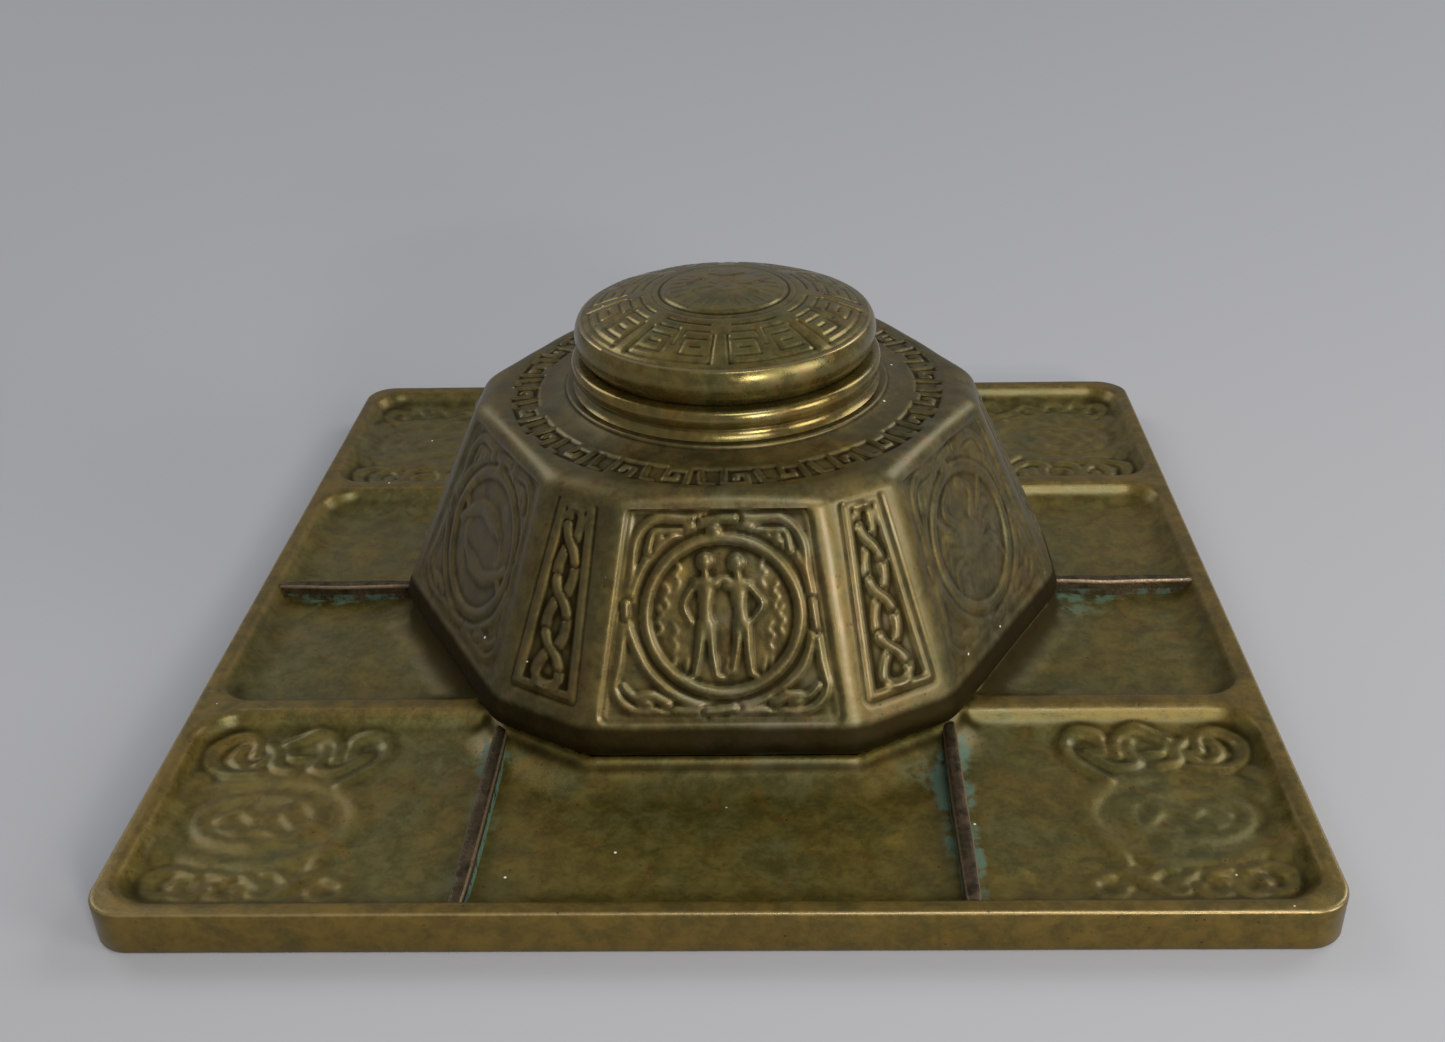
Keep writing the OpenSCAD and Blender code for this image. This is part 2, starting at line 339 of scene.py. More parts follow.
def rub_of(grid: np.ndarray, outward: np.ndarray, sigma: float, wrap_rows: bool,
           wrap_cols: bool) -> np.ndarray:
    """How far each point stands out of its neighbourhood, in millimetres.

    Args:
        grid: Rows by columns by three.
        outward: Normals of the points.
        sigma: Size of the neighbourhood, in samples.
        wrap_rows: True where the rows close on themselves.
        wrap_cols: True where the columns close on themselves.

    Returns:
        Above 0 on edges that hands and cloths reach, below 0 in hollows.
    """
    around = blur(blur(grid, sigma, 0, wrap_rows), sigma, 1, wrap_cols)
    return ((grid - around) * outward).sum(2)


class Surface:
    """Points and faces of one piece while it is put together, in millimetres."""

    def __init__(self) -> None:
        """Starts empty."""
        self.points: list[np.ndarray] = []
        self.faces: list[np.ndarray] = []
        self.marks: dict[str, list[tuple[np.ndarray, np.ndarray]]] = {}
        self.count = 0

    def ring(self, points: np.ndarray) -> np.ndarray:
        """Adds points and returns their indices."""
        points = np.asarray(points, float).reshape(-1, 3)
        self.points.append(points)
        self.count += len(points)
        return np.arange(self.count - len(points), self.count)

    def grid(self, points: np.ndarray, wrap_rows: bool = False,
             wrap_cols: bool = False) -> np.ndarray:
        """Adds a grid with its faces.

        Args:
            points: Rows by columns by three.
            wrap_rows: True where the last row joins the first.
            wrap_cols: True where the last column joins the first.

        Returns:
            The indices of the points.
        """
        index = self.ring(points).reshape(points.shape[:2])
        a = np.vstack([index, index[:1]]) if wrap_rows else index
        a = np.hstack([a, a[:, :1]]) if wrap_cols else a
        quads = np.stack([a[:-1, :-1], a[:-1, 1:], a[1:, 1:], a[1:, :-1]], -1)
        self.faces.append(quads.reshape(-1, 4))
        return index

    def bridge(self, a: np.ndarray, b: np.ndarray) -> None:
        """Joins two closed rings of equal length with faces."""
        a2, b2 = np.roll(a, -1), np.roll(b, -1)
        self.faces.append(np.stack([a, a2, b2, b], -1))

    def fan(self, ring: np.ndarray, centre: np.ndarray) -> None:
        """Closes a ring with faces that meet in one point."""
        mid = self.ring(centre)[0]
        self.faces.append(np.stack([ring, np.roll(ring, -1), np.full(len(ring), mid)], -1))

    def mark(self, name: str, index: np.ndarray, values: np.ndarray) -> None:
        """Notes a value for some of the points, for the finish to read."""
        self.marks.setdefault(name, []).append((index.ravel(), np.asarray(values).ravel()))

    def build(self, name: str, sharp: float = 42.0) -> bpy.types.Object:
        """Makes the Blender object.

        Args:
            name: Name of the piece.
            sharp: Angle in degrees above which an edge stays crisp.

        Returns:
            The object, at the origin.
        """
        co = np.concatenate(self.points) * MM
        sizes = np.concatenate([np.full(len(f), f.shape[1]) for f in self.faces])
        mesh = bpy.data.meshes.new(name)
        mesh.vertices.add(len(co))
        mesh.vertices.foreach_set("co", co.astype(np.float32).ravel())
        mesh.loops.add(int(sizes.sum()))
        mesh.loops.foreach_set("vertex_index",
                               np.concatenate([f.ravel() for f in self.faces]).astype(np.int32))
        mesh.polygons.add(len(sizes))
        starts = np.concatenate([[0], np.cumsum(sizes)[:-1]])
        mesh.polygons.foreach_set("loop_start", starts.astype(np.int32))
        mesh.update(calc_edges=True)
        work = bmesh.new()
        work.from_mesh(mesh)
        bmesh.ops.recalc_face_normals(work, faces=work.faces)
        work.to_mesh(mesh)
        work.free()
        for mark in ("rub_and_shade", "lie", "damp"):
            values = np.zeros(len(co), np.float32)
            for index, given in self.marks.get(mark, []):
                values[index] = given
            mesh.attributes.new(mark, "FLOAT", "POINT").data.foreach_set("value", values)
        mesh.validate()
        mesh.shade_smooth()
        mesh.set_sharp_from_angle(angle=math.radians(sharp))
        thing = bpy.data.objects.new(name, mesh)
        bpy.context.scene.collection.objects.link(thing)
        return thing


def settle(piece: bpy.types.Object, body: str, slot: str, finish: bpy.types.Material,
           *nodes: str) -> None:
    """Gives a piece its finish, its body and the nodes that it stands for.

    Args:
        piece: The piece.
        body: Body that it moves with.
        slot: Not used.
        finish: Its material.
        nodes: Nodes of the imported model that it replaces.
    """
    piece.data.materials.clear()
    piece.data.materials.append(finish)
    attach(piece, body)
    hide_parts(*nodes)
    log.info("%s: %d faces, moves with %s", piece.name, len(piece.data.polygons), body)


def sample(corners: list[tuple[float, ...]], gaps: list[int]) -> np.ndarray:
    """Straight runs between corners, each cut into its number of steps, the last corner left out.

    Args:
        corners: Corner points of any number of values.
        gaps: Steps of each run.

    Returns:
        The points.
    """
    c = np.array(corners, float)
    parts = [c[i] + (c[i + 1] - c[i]) * np.arange(n)[:, None] / n for i, n in enumerate(gaps)]
    return np.vstack(parts)


def turned(profile: np.ndarray, n: int, start: float = -math.pi / 2) -> np.ndarray:
    """Turns a profile about the upright axis.

    Args:
        profile: Radius and height of each point.
        n: Number of columns.
        start: Angle of the first column.

    Returns:
        Rows by columns by three.
    """
    turn = start + 2 * math.pi * np.arange(n) / n
    r, z = profile[:, :1], profile[:, 1:2]
    return np.stack([r * np.cos(turn), r * np.sin(turn), z + 0 * turn], -1)


# ---- Finishes ----


class Graph:
    """Short ways to lay the nodes of a finish."""

    def __init__(self, name: str) -> None:
        """Makes an empty material.

        Args:
            name: Name of the finish.
        """
        self.material = bpy.data.materials.new(name)
        self.material.use_nodes = True
        self.tree = self.material.node_tree
        self.tree.nodes.clear()
        self.place = self.add("ShaderNodeTexCoord").outputs["Object"]

    def add(self, kind: str, **sockets: object) -> bpy.types.Node:
        """Adds a node.

        Args:
            kind: Type of the node.
            sockets: Input names, with spaces as underscores, and a value or a socket for each.

        Returns:
            The node.
        """
        node = self.tree.nodes.new(kind)
        for name, value in sockets.items():
            self.put(node.inputs[name.replace("_", " ")], value)
        return node

    def put(self, socket: bpy.types.NodeSocket, value: object) -> None:
        """Sets a socket to a value, or links it to another socket."""
        if isinstance(value, bpy.types.NodeSocket):
            self.tree.links.new(value, socket)
        elif isinstance(value, tuple) and len(value) == 3 and socket.type == "RGBA":
            socket.default_value = (*value, 1)
        else:
            socket.default_value = value

    def noise(self, size: float, detail: float = 4, rough: float = 0.55,
              shift: float = 0.0) -> bpy.types.NodeSocket:
        """Cloudy pattern.

        Args:
            size: Size of its swells in millimetres.
            detail: Number of finer layers.
            rough: Strength of the finer layers.
            shift: How far it is bent.

        Returns:
            Its value socket.
        """
        node = self.add("ShaderNodeTexNoise", Vector=self.place, Scale=1 / (size * MM),
                        Detail=detail, Roughness=rough, Distortion=shift)
        return node.outputs["Fac"]

    def mark(self, name: str) -> bpy.types.NodeSocket:
        """Value that a surface carries at its points."""
        node = self.tree.nodes.new("ShaderNodeAttribute")
        node.attribute_name = name
        return node.outputs["Fac"]

    def math(self, kind: str, a: object, b: object) -> bpy.types.NodeSocket:
        """Joins two values in the way that Blender's node names."""
        node = self.tree.nodes.new("ShaderNodeMath")
        node.operation = kind
        self.put(node.inputs[0], a)
        self.put(node.inputs[1], b)
        return node.outputs[0]

    def plus(self, a: object, b: object) -> bpy.types.NodeSocket:
        """Sum of two values."""
        return self.math("ADD", a, b)

    def less(self, a: object, b: object) -> bpy.types.NodeSocket:
        """Difference of two values."""
        return self.math("SUBTRACT", a, b)

    def times(self, a: object, b: object) -> bpy.types.NodeSocket:
        """Product of two values."""
        return self.math("MULTIPLY", a, b)

    def cells(self, gap: float) -> bpy.types.NodeSocket:
        """Distance from the nearest of many scattered points, which lie about a gap apart."""
        return self.add("ShaderNodeTexVoronoi", Vector=self.place, Scale=1 / (gap * MM),
                        Randomness=1.0).outputs["Distance"]

    def ramp(self, value: object, low: float, high: float, to_low: float = 0.0,
             to_high: float = 1.0) -> bpy.types.NodeSocket:
        """Smooth ramp of a value.

        Args:
            value: Socket that drives it.
            low: Value where it starts.
            high: Value where it ends.
            to_low: Result at the start.
            to_high: Result at the end.

        Returns:
            The result's socket.
        """
        node = self.tree.nodes.new("ShaderNodeMapRange")
        node.interpolation_type = "SMOOTHSTEP"
        for socket, given in zip(node.inputs, (value, low, high, to_low, to_high)):
            self.put(socket, given)
        return node.outputs[0]

    def mix(self, share: object, a: object, b: object,
            blend: str = "MIX") -> bpy.types.NodeSocket:
        """Mixes two colours."""
        node = self.tree.nodes.new("ShaderNodeMix")
        node.data_type = "RGBA"
        node.blend_type = blend
        self.put(node.inputs[0], share)
        self.put(node.inputs[6], a)
        self.put(node.inputs[7], b)
        return node.outputs[2]

    def bump(self, height: object, depth: float, below: object = None) -> bpy.types.NodeSocket:
        """Fine unevenness.

        Args:
            height: Socket of its height.
            depth: Its full depth in millimetres.
            below: Normal of a coarser layer.

        Returns:
            The normal's socket.
        """
        node = self.add("ShaderNodeBump", Height=height, Distance=depth * MM, Strength=1.0)
        if below is not None:
            self.put(node.inputs["Normal"], below)
        return node.outputs[0]

    def shade(self, **sockets: object) -> bpy.types.Material:
        """Ends the tree with its shader.

        Args:
            sockets: Inputs of the shader.

        Returns:
            The material.
        """
        shader = self.add("ShaderNodeBsdfPrincipled", **sockets)
        self.add("ShaderNodeOutputMaterial", Surface=shader.outputs[0])
        return self.material


@dataclass(frozen=True)
class Bronze:
    """Old cast bronze under a brown and olive patina, rubbed bright on its edges."""

    name: str
    body: Colour = (0.128, 0.094, 0.024)
    olive: Colour = (0.102, 0.088, 0.026)
    warm: Colour = (0.165, 0.092, 0.018)
    # Dark of the patina in real hollows; the same colour is also the painted shade that the pieces
    # mark under and beside the well, at the well's foot and on the lid and collar.
    hollow: Colour = (0.012, 0.008, 0.003)
    worn: Colour = (0.300, 0.215, 0.085)
    bloom: Colour = (0.125, 0.098, 0.070)
    verdigris: Colour = (0.070, 0.135, 0.095)
    metal: float = 0.80
    low_rough: float = 0.30
    high_rough: float = 0.48
    rub_start: float = 0.10
    rub_full: float = 0.42
    pit_depth: float = 0.04
    cloud: float = 26.0
    bloom_share: float = 0.35
    coat: float = 0.24
    swell: float = 0.10
    stain: Colour = (0.250, 0.175, 0.030)
    dust: Colour = (0.75, 0.74, 0.68)
    mottle_size: float = 5.5
    grain_size: float = 1.3
    fine_size: float = 0.35
    swell_size: float = 3.2
    pit_gap: float = 2.6
    dust_gap: float = 13.0

    def build(self) -> bpy.types.Material:
        """Makes the material."""
        g = Graph(self.name)
        broad = g.noise(self.cloud, 3, 0.5, 0.6)
        other = g.noise(self.cloud * 0.47, 4, 0.55, 1.2)
        mottle = g.noise(self.mottle_size, 6, 0.62, 0.4)
        grain = g.noise(self.grain_size, 6, 0.65)
        fine = g.noise(self.fine_size, 3, 0.6)
        rub_and_shade, damp = g.mark("rub_and_shade"), g.mark("damp")
        colour = g.mix(g.ramp(broad, 0.40, 0.62), self.body, self.olive)
        colour = g.mix(g.ramp(other, 0.50, 0.70, 0.0, 0.8), colour, self.warm)
        bloomed = g.ramp(g.times(broad, mottle), 0.27, 0.42, 0, self.bloom_share)
        colour = g.mix(bloomed, colour, self.bloom)
        golden = g.ramp(g.noise(self.cloud * 0.72, 3, 0.5, 0.9), 0.62, 0.78, 0.0, 0.5)
        colour = g.mix(golden, colour, self.stain)
        flat = g.times(g.mark("lie"), g.ramp(mottle, 0.30, 0.62, 0.35, 0.85))
        colour = g.mix(flat, colour, self.warm)
        shade = g.ramp(g.plus(mottle, g.times(grain, 0.45)), 0.50, 0.92, 0.72, 1.18)
        tone = g.add("ShaderNodeCombineXYZ", X=shade, Y=shade, Z=shade).outputs[0]
        colour = g.mix(1.0, colour, tone, "MULTIPLY")
        # Share of the hollow colour: patina where the mark dips below zero in real hollows, and
        # painted shade where a piece marks shaded places below zero.
        sunk_and_shaded = g.ramp(g.plus(rub_and_shade, g.times(mottle, 0.10)), -0.20, 0.03, 1, 0)
        colour = g.mix(g.times(sunk_and_shaded, 0.85), colour, self.hollow)
        bare = g.ramp(g.plus(rub_and_shade, g.times(grain, 0.10)),
                      self.rub_start + 0.05, self.rub_full + 0.05)
        colour = g.mix(g.times(bare, 0.70), colour, self.worn)
        green = g.ramp(g.times(damp, g.ramp(mottle, 0.34, 0.66, 0.30, 1.15)), 0.30, 0.95)
        colour = g.mix(g.times(green, 0.80), colour, self.verdigris)
        pit = g.ramp(g.cells(self.pit_gap), 0.06, 0.16, 1, 0)
        pit = g.times(pit, g.ramp(other, 0.52, 0.60))
        colour = g.mix(g.times(pit, 0.6), colour, self.hollow)
        speck = g.ramp(g.cells(self.dust_gap), 0.018, 0.030, 1, 0)
        colour = g.mix(speck, colour, self.dust)
        rough = g.ramp(g.plus(mottle, g.times(grain, 0.4)), 0.45, 0.95,
                       self.low_rough, self.high_rough)
        rough = g.plus(rough, g.times(sunk_and_shaded, 0.18))
        rough = g.plus(rough, g.times(green, 0.30))
        rough = g.less(rough, g.times(bare, 0.06))
        dull = g.math("MAXIMUM", g.times(green, 0.8), g.times(speck, 0.9))
        metal = g.times(self.metal, g.less(1.0, dull))
        skin = g.bump(g.noise(self.swell_size, 3, 0.5), self.swell)
        skin = g.bump(grain, self.pit_depth, skin)
        skin = g.bump(g.plus(fine, g.times(pit, -1.2)), self.pit_depth * 0.5, skin)
        open_face = g.less(1.0, sunk_and_shaded)
        gloss = g.times(open_face, g.plus(self.coat, g.times(bare, 0.5)))
        return g.shade(Base_Color=colour, Metallic=metal, Roughness=rough, Normal=skin,
                       Specular_IOR_Level=g.times(open_face, 0.5),
                       Coat_Weight=gloss, Coat_Roughness=0.25)


@dataclass(frozen=True)
class CopperStrip:
    """Reddish strip metal, soldered in, with verdigris along its seams."""

    name: str = "strip_copper"
    body: Colour = (0.052, 0.038, 0.016)
    pale: Colour = (0.092, 0.062, 0.036)
    dark: Colour = (0.020, 0.014, 0.007)
    worn: Colour = (0.26, 0.19, 0.12)
    verdigris: Colour = (0.080, 0.150, 0.110)

    def build(self) -> bpy.types.Material:
        """Makes the material."""
        g = Graph(self.name)
        broad, mottle, grain = g.noise(9, 4, 0.6, 1.0), g.noise(2.8, 5, 0.65), g.noise(0.7, 4)
        rub_and_shade, damp = g.mark("rub_and_shade"), g.mark("damp")
        colour = g.mix(g.ramp(broad, 0.40, 0.64), self.body, self.pale)
        colour = g.mix(g.ramp(mottle, 0.46, 0.70), colour, self.dark)
        colour = g.mix(g.ramp(rub_and_shade, 0.03, 0.16), colour, self.worn)
        green = g.ramp(g.times(damp, g.ramp(mottle, 0.3, 0.6, 0.3, 1.2)), 0.30, 0.75)
        colour = g.mix(green, colour, self.verdigris)
        rough = g.ramp(grain, 0.3, 0.7, 0.36, 0.60)
        metal = g.ramp(green, 0.0, 1.0, 0.75, 0.10)
        skin = g.bump(mottle, 0.16)
        skin = g.bump(grain, 0.05, skin)
        return g.shade(Base_Color=colour, Metallic=metal, Roughness=rough, Normal=skin)


@dataclass(frozen=True)
class Brass:
    """Drawn brass of the pin and the screws, dull with age."""

    name: str = "old_brass"
    body: Colour = (0.420, 0.290, 0.105)
    dark: Colour = (0.110, 0.078, 0.034)

    def build(self) -> bpy.types.Material:
        """Makes the material."""
        g = Graph(self.name)
        mottle, grain = g.noise(1.8, 5, 0.6), g.noise(0.3, 3)
        colour = g.mix(g.ramp(mottle, 0.42, 0.66), self.body, self.dark)
        rough = g.ramp(grain, 0.3, 0.7, 0.28, 0.48)
        metal = g.ramp(mottle, 0.4, 0.8, 0.95, 0.75)
        return g.shade(Base_Color=colour, Metallic=metal, Roughness=rough,
                       Normal=g.bump(grain, 0.02))


@dataclass(frozen=True)
class PotGlass:
    """Thick pressed glass with dried ink in the bottom."""

    name: str = "pot_glass"
    tint: Colour = (0.86, 0.93, 0.90)
    ink: Colour = (0.012, 0.016, 0.045)

    def build(self) -> bpy.types.Material:
        """Makes the material."""
        g = Graph(self.name)
        mottle, fine = g.noise(6.0, 5, 0.6, 0.8), g.noise(1.2, 4)
        stain = g.ramp(g.plus(g.mark("lie"), g.times(mottle, 0.6)), 0.62, 0.98)
        colour = g.mix(stain, self.tint, self.ink)
        through = g.ramp(stain, 0.0, 1.0, 0.97, 0.05)
        rough = g.ramp(fine, 0.3, 0.7, 0.02, 0.09)
        return g.shade(Base_Color=colour, Roughness=rough, Transmission_Weight=through,
                       Normal=g.bump(mottle, 0.12), IOR=1.5)


@dataclass(frozen=True)
class FloorPaper:
    """Seamless grey studio paper."""

    name: str = "studio_paper"
    shade: Colour = (0.410, 0.413, 0.429)
    deep: Colour = (0.390, 0.393, 0.409)

    def build(self) -> bpy.types.Material:
        """Makes the material."""
        g = Graph(self.name)
        cloud = g.ramp(g.noise(900, 2, 0.4), 0.3, 0.7, 0.0, 0.05)
        colour = g.mix(cloud, self.shade, self.deep)
        return g.shade(Base_Color=colour, Roughness=0.95, Specular_IOR_Level=0.08,
                       Normal=g.bump(g.noise(1.5, 3), 0.01))


# ---- Tray ----


@dataclass
class Tray:
    """Square casting with troughs for pens and a seat for the well."""

    low: np.ndarray
    high: np.ndarray
    corner: float = 8.5
    lip: float = 4.5
    depth: float = 5.0
    cove: float = 8.0
    trough_corner: float = 9.0
    ridge_low: float = 53.0
    ridge_high: float = 59.0
    plateau: float = 77.5
    plateau_cove: float = 9.5
    seat: float = 76.05
    seat_depth: float = 0.8
    skin: float = 2.4
    foot_band: float = 5.0
    edge_round: float = 0.9
    wide_half: float = math.radians(21.4)
    strip_x: float = 52.0
    strip_from: float = 58.0
    pools: tuple[tuple[float, ...], ...] = (
        (88, -8, 16, 9, 0.75), (-62, -72, 8, 9, 0.6), (46, -78, 7, 10, 0.8),
        (97, -66, 20, 5, 0.42), (-97, -64, 20, 5, 0.36))

    def __post_init__(self) -> None:
        """Works out the sizes that follow from the box."""
        self.half = self.high[0]
        self.top = self.high[2]
        self.floor = self.top - self.depth

    def apothem(self, x: np.ndarray, y: np.ndarray) -> np.ndarray:
        """Size of the twelve-sided outline that passes through each place.

        Args:
            x: Places.
            y: Places.

        Returns:
            Half the width across the wide faces.
        """
        narrow = math.cos(math.pi / 6 - self.wide_half) / math.cos(self.wide_half)
        out = np.zeros_like(x)
        for k in range(6):
            wide, slim = math.radians(-90 + 60 * k), math.radians(-60 + 60 * k)
            out = np.maximum(out, x * math.cos(wide) + y * math.sin(wide))
            out = np.maximum(out, (x * math.cos(slim) + y * math.sin(slim)) / narrow)
        return out

    def lines(self) -> tuple[np.ndarray, np.ndarray]:
        """Places of the grid's columns and rows, closer together where there is detail."""
        edge = self.half - self.edge_round

        def run(coarse_to: float) -> np.ndarray:
            """One half of the places, mirrored."""
            inner = np.linspace(0, coarse_to, int(coarse_to / 0.8) + 1)
            outer = np.linspace(coarse_to, edge, int((edge - coarse_to) / 0.58) + 1)[1:]
            side = np.concatenate([inner, outer])
            return np.concatenate([-side[:0:-1], side])

        return run(60.0), run(45.0)

    def corner_work(self, x: np.ndarray, y: np.ndarray) -> np.ndarray:
        """Scrolls and ovals cast in the four corner compartments.

        Args:
            x: Distances from the middle to the side.
            y: Distances from the middle to the front or back.

        Returns:
            Heights above the plain surface.
        """
        r = Relief(x, y)
        r.stroke(curve([(x0, y0) for x0, y0 in arc(100.5, 92.5, 21.0, 0, 345, 23, 0.70)], True),
                 2.6, 0.55, power=0.8, vein=0.12)
        r.stroke(curve(arc(101.5, 92.0, 13.0, 0, 340, 17, 0.62), True), 1.9, 0.48, power=0.8)
        r.stroke(curve([(93, 94), (97, 90), (102, 92), (106, 89), (110, 92)]), 1.5, 0.55, 0.2)
        r.stroke(curve([(96, 97), (100, 95.5), (105, 97), (109, 95)]), 1.2, 0.5, 0.2)
        r.blob(95.5, 88.5, 2.2, 1.7, 0.6)
        r.blob(106.0, 95.5, 2.4, 1.6, 0.55)
        inner = [
            [(86.5, 80.5), (82.5, 76.5), (79.0, 72.0), (78.2, 67.0), (81.5, 63.6), (86.0, 64.4),
             (87.6, 68.4), (85.2, 71.4)],
            [(83.0, 70.0), (86.0, 73.5), (89.5, 75.8), (94.0, 74.0), (92.5, 69.5), (93.5, 65.0),
             (98.0, 63.2), (101.6, 66.0), (100.4, 70.2), (96.8, 70.6)],
            [(89.8, 71.0), (90.4, 66.0), (94.8, 62.6), (100.0, 64.6), (104.5, 67.4), (106.5, 72.0),
             (111.0, 74.4), (114.6, 71.2)],
            [(98.6, 75.4), (103.0, 73.6), (103.8, 69.0), (107.5, 65.6), (112.4, 66.8),
             (113.2, 71.0), (110.0, 74.6)],
            [(106.0, 76.0), (112.6, 76.4), (117.6, 73.4), (118.2, 67.6), (114.4, 63.6),
             (109.6, 64.8), (108.8, 69.2)],
        ]
        for i, path in enumerate(inner):
            r.stroke(curve(path), 1.75, 1.25, moat=0.45, power=0.7, vein=0.18,
                     end_half=1.3 if i else 2.0)
        outer = [
            [(84.6, 104.0), (84.8, 108.4), (81.2, 111.0), (77.4, 113.0), (78.0, 117.0),
             (82.0, 117.6), (84.0, 114.6)],
            [(83.6, 109.4), (88.0, 112.4), (91.4, 116.0), (96.0, 115.4), (96.6, 111.0),
             (93.0, 109.0), (89.6, 111.4)],
            [(94.4, 113.8), (99.6, 110.2), (104.0, 112.6), (104.4, 116.4), (100.2, 117.2),
             (98.8, 114.2)],
            [(101.8, 111.0), (106.8, 109.4), (111.6, 111.4), (112.8, 115.4), (109.0, 117.4),
             (106.4, 114.8)],
            [(109.0, 110.0), (114.6, 108.4), (118.2, 111.8), (117.0, 116.0), (113.6, 116.2)],
        ]
        for path in outer:
            r.stroke(curve(path), 1.7, 0.85, moat=0.4, power=0.65, end_half=1.2, vein=0.1)
        r.stroke(curve([(118.4, 78.0), (120.6, 84.0), (121.0, 92.0), (120.4, 100.0),
                        (118.0, 106.0)]), 1.9, 0.7, power=0.6)
        r.stroke(curve([(84.6, 82.0), (81.0, 87.0), (80.2, 93.0), (81.4, 99.0), (85.0, 104.4)]),
                 2.1, 0.6, power=0.6)
        return r.height

    def heights(self, x: np.ndarray, y: np.ndarray) -> np.ndarray:
        """Height of the tray's top.

        Args:
            x: Places.
            y: Places.

        Returns:
            The heights.
        """
        ax, ay = np.abs(x), np.abs(y)
        edge, r = self.half - self.lip, self.trough_corner

        def dip(low: float, high: float, side_low: float, side_high: float) -> np.ndarray:
            """Depth of one trough between its sides."""
            cx, cy = (side_low + side_high) / 2, (low + high) / 2
            sx = np.abs(ax - cx) - (side_high - side_low) / 2 + r
            sy = np.abs(ay - cy) - (high - low) / 2 + r
            inside = -(np.minimum(np.maximum(sx, sy), 0)
                       + np.hypot(np.maximum(sx, 0), np.maximum(sy, 0)) - r)
            t = np.clip(inside / self.cove, 0, 1)
            return self.depth * np.sqrt(1 - (1 - t) ** 2)

        deep = np.maximum(dip(self.ridge_high, edge, -edge, edge),
                          dip(-self.ridge_low, self.ridge_low, -edge, edge))
        size = self.apothem(x, y)
        away = np.clip((size - self.plateau) / self.plateau_cove, 0, 1)
        bank = self.depth * (1 - np.sqrt(1 - (1 - away) ** 2)) ** 0.8
        ground = np.maximum(-deep, bank - self.depth)
        soft = blur(blur(ground, 1.5, 0), 1.5, 1)
        work = np.zeros_like(x)
        patch = (ax > 74) & (ay > 58)
        rows, cols = np.nonzero(patch.any(1))[0], np.nonzero(patch.any(0))[0]
        for some_rows in (rows[y[rows, 0] < 0], rows[y[rows, 0] > 0]):
            for some_cols in (cols[x[0, cols] < 0], cols[x[0, cols] > 0]):
                at = np.ix_(some_rows, some_cols)
                faint = 0.85 if x[0, some_cols[0]] > 0 else 0.68
                work[at] = faint * self.corner_work(ax[at], ay[at])
        work = blur(blur(work, 1.1, 0), 1.1, 1)
        wave = 0.05 * waver(x.shape, 9, 3) + 0.02 * waver(x.shape, 3.5, 4)
        shelter = np.clip(-soft / self.depth * 1.6, 0.3, 1)
        top = soft + work * np.where(soft < -0.8, 1, np.clip(-soft, 0, 1)) + wave * shelter
        top = np.minimum(top, 0.0)
        seat = size < self.seat
        top = np.where(seat, -self.seat_depth, top)
        return self.top + top

    def round_corners(self, x: np.ndarray, y: np.ndarray,
                      radius: float, half: float) -> tuple[np.ndarray, np.ndarray]:
        """Bends the corners of the square grid into quarter circles.

        Args:
            x: Places on the square.
            y: Places on the square.
            radius: Corner radius.
            half: Half the side.

        Returns:
            The bent places.
        """
        a = np.clip((np.abs(x) - half + radius) / radius, 0, 1)
        b = np.clip((np.abs(y) - half + radius) / radius, 0, 1)
        move_x = np.where((a > 0) & (b > 0), radius * a * (np.sqrt(1 - b * b / 2) - 1), 0)
        move_y = np.where((a > 0) & (b > 0), radius * b * (np.sqrt(1 - a * a / 2) - 1), 0)
        return x + np.sign(x) * move_x, y + np.sign(y) * move_y

    def build(self, finish: bpy.types.Material) -> None:
        """Builds the tray.

        Args:
            finish: Its bronze.
        """
        cols, rows = self.lines()
        x, y = np.meshgrid(cols, rows)
        inner_half, inner_r = self.half - self.edge_round, self.corner - self.edge_round
        bx, by = self.round_corners(x, y, inner_r, inner_half)
        z = self.heights(bx, by)
        top = np.stack([bx, by, z], -1)
        s = Surface()
        index = s.grid(top)
        up = normals(top, False, False)
        up *= np.sign(up[..., 2:3])
        rub_and_shade = rub_of(top, up, 2.2, False, False)
        lip = step(np.maximum(np.abs(x), np.abs(y)), self.half - 3.2, self.half - 0.9)
        size = self.apothem(bx, by)
        # Painted shade: the first mask darkens the ground under the well's overhang, the second
        # the banks beside the well where its shadow falls.
        under = 1 - step(size, 78.2, 80.4)
        well_shadow = (1 - step(size, 80.0, 88.5)) * (1 - step(np.abs(by), 46.0, 54.0))
        s.mark("rub_and_shade", index, rub_and_shade * 0.6 + 0.04 * lip - 0.22 * under - 0.16 * well_shadow)
        s.mark("lie", index, step(z, self.floor + 3.2, self.top - 0.3) * (1 - under))
        seam = np.exp(-((size - self.plateau - 2.6) / 2.4) ** 2) * 0.22
        strips = np.exp(-((np.abs(np.abs(bx) - self.strip_x) - 2.6) / 2.0) ** 2)
        strips *= np.abs(by) > self.strip_from
        strips += np.exp(-(np.abs(by + 2.6) / 2.0) ** 2) * (np.abs(bx) > self.plateau + 0.5) * 0.8
        pool = np.zeros_like(bx)
        for at_x, at_y, wide, deep, strength in self.pools:
            pool += np.exp(-((bx - at_x) / wide) ** 2 - ((by - at_y) / deep) ** 2) * strength
        low = step(self.top - z, 2.0, 4.5)
        patchy = 0.75 + 0.35 * waver(x.shape, 7, 9)
        s.mark("damp", index, (seam + strips * np.clip(patchy, 0.2, 1.3) + pool * 0.9) * low)

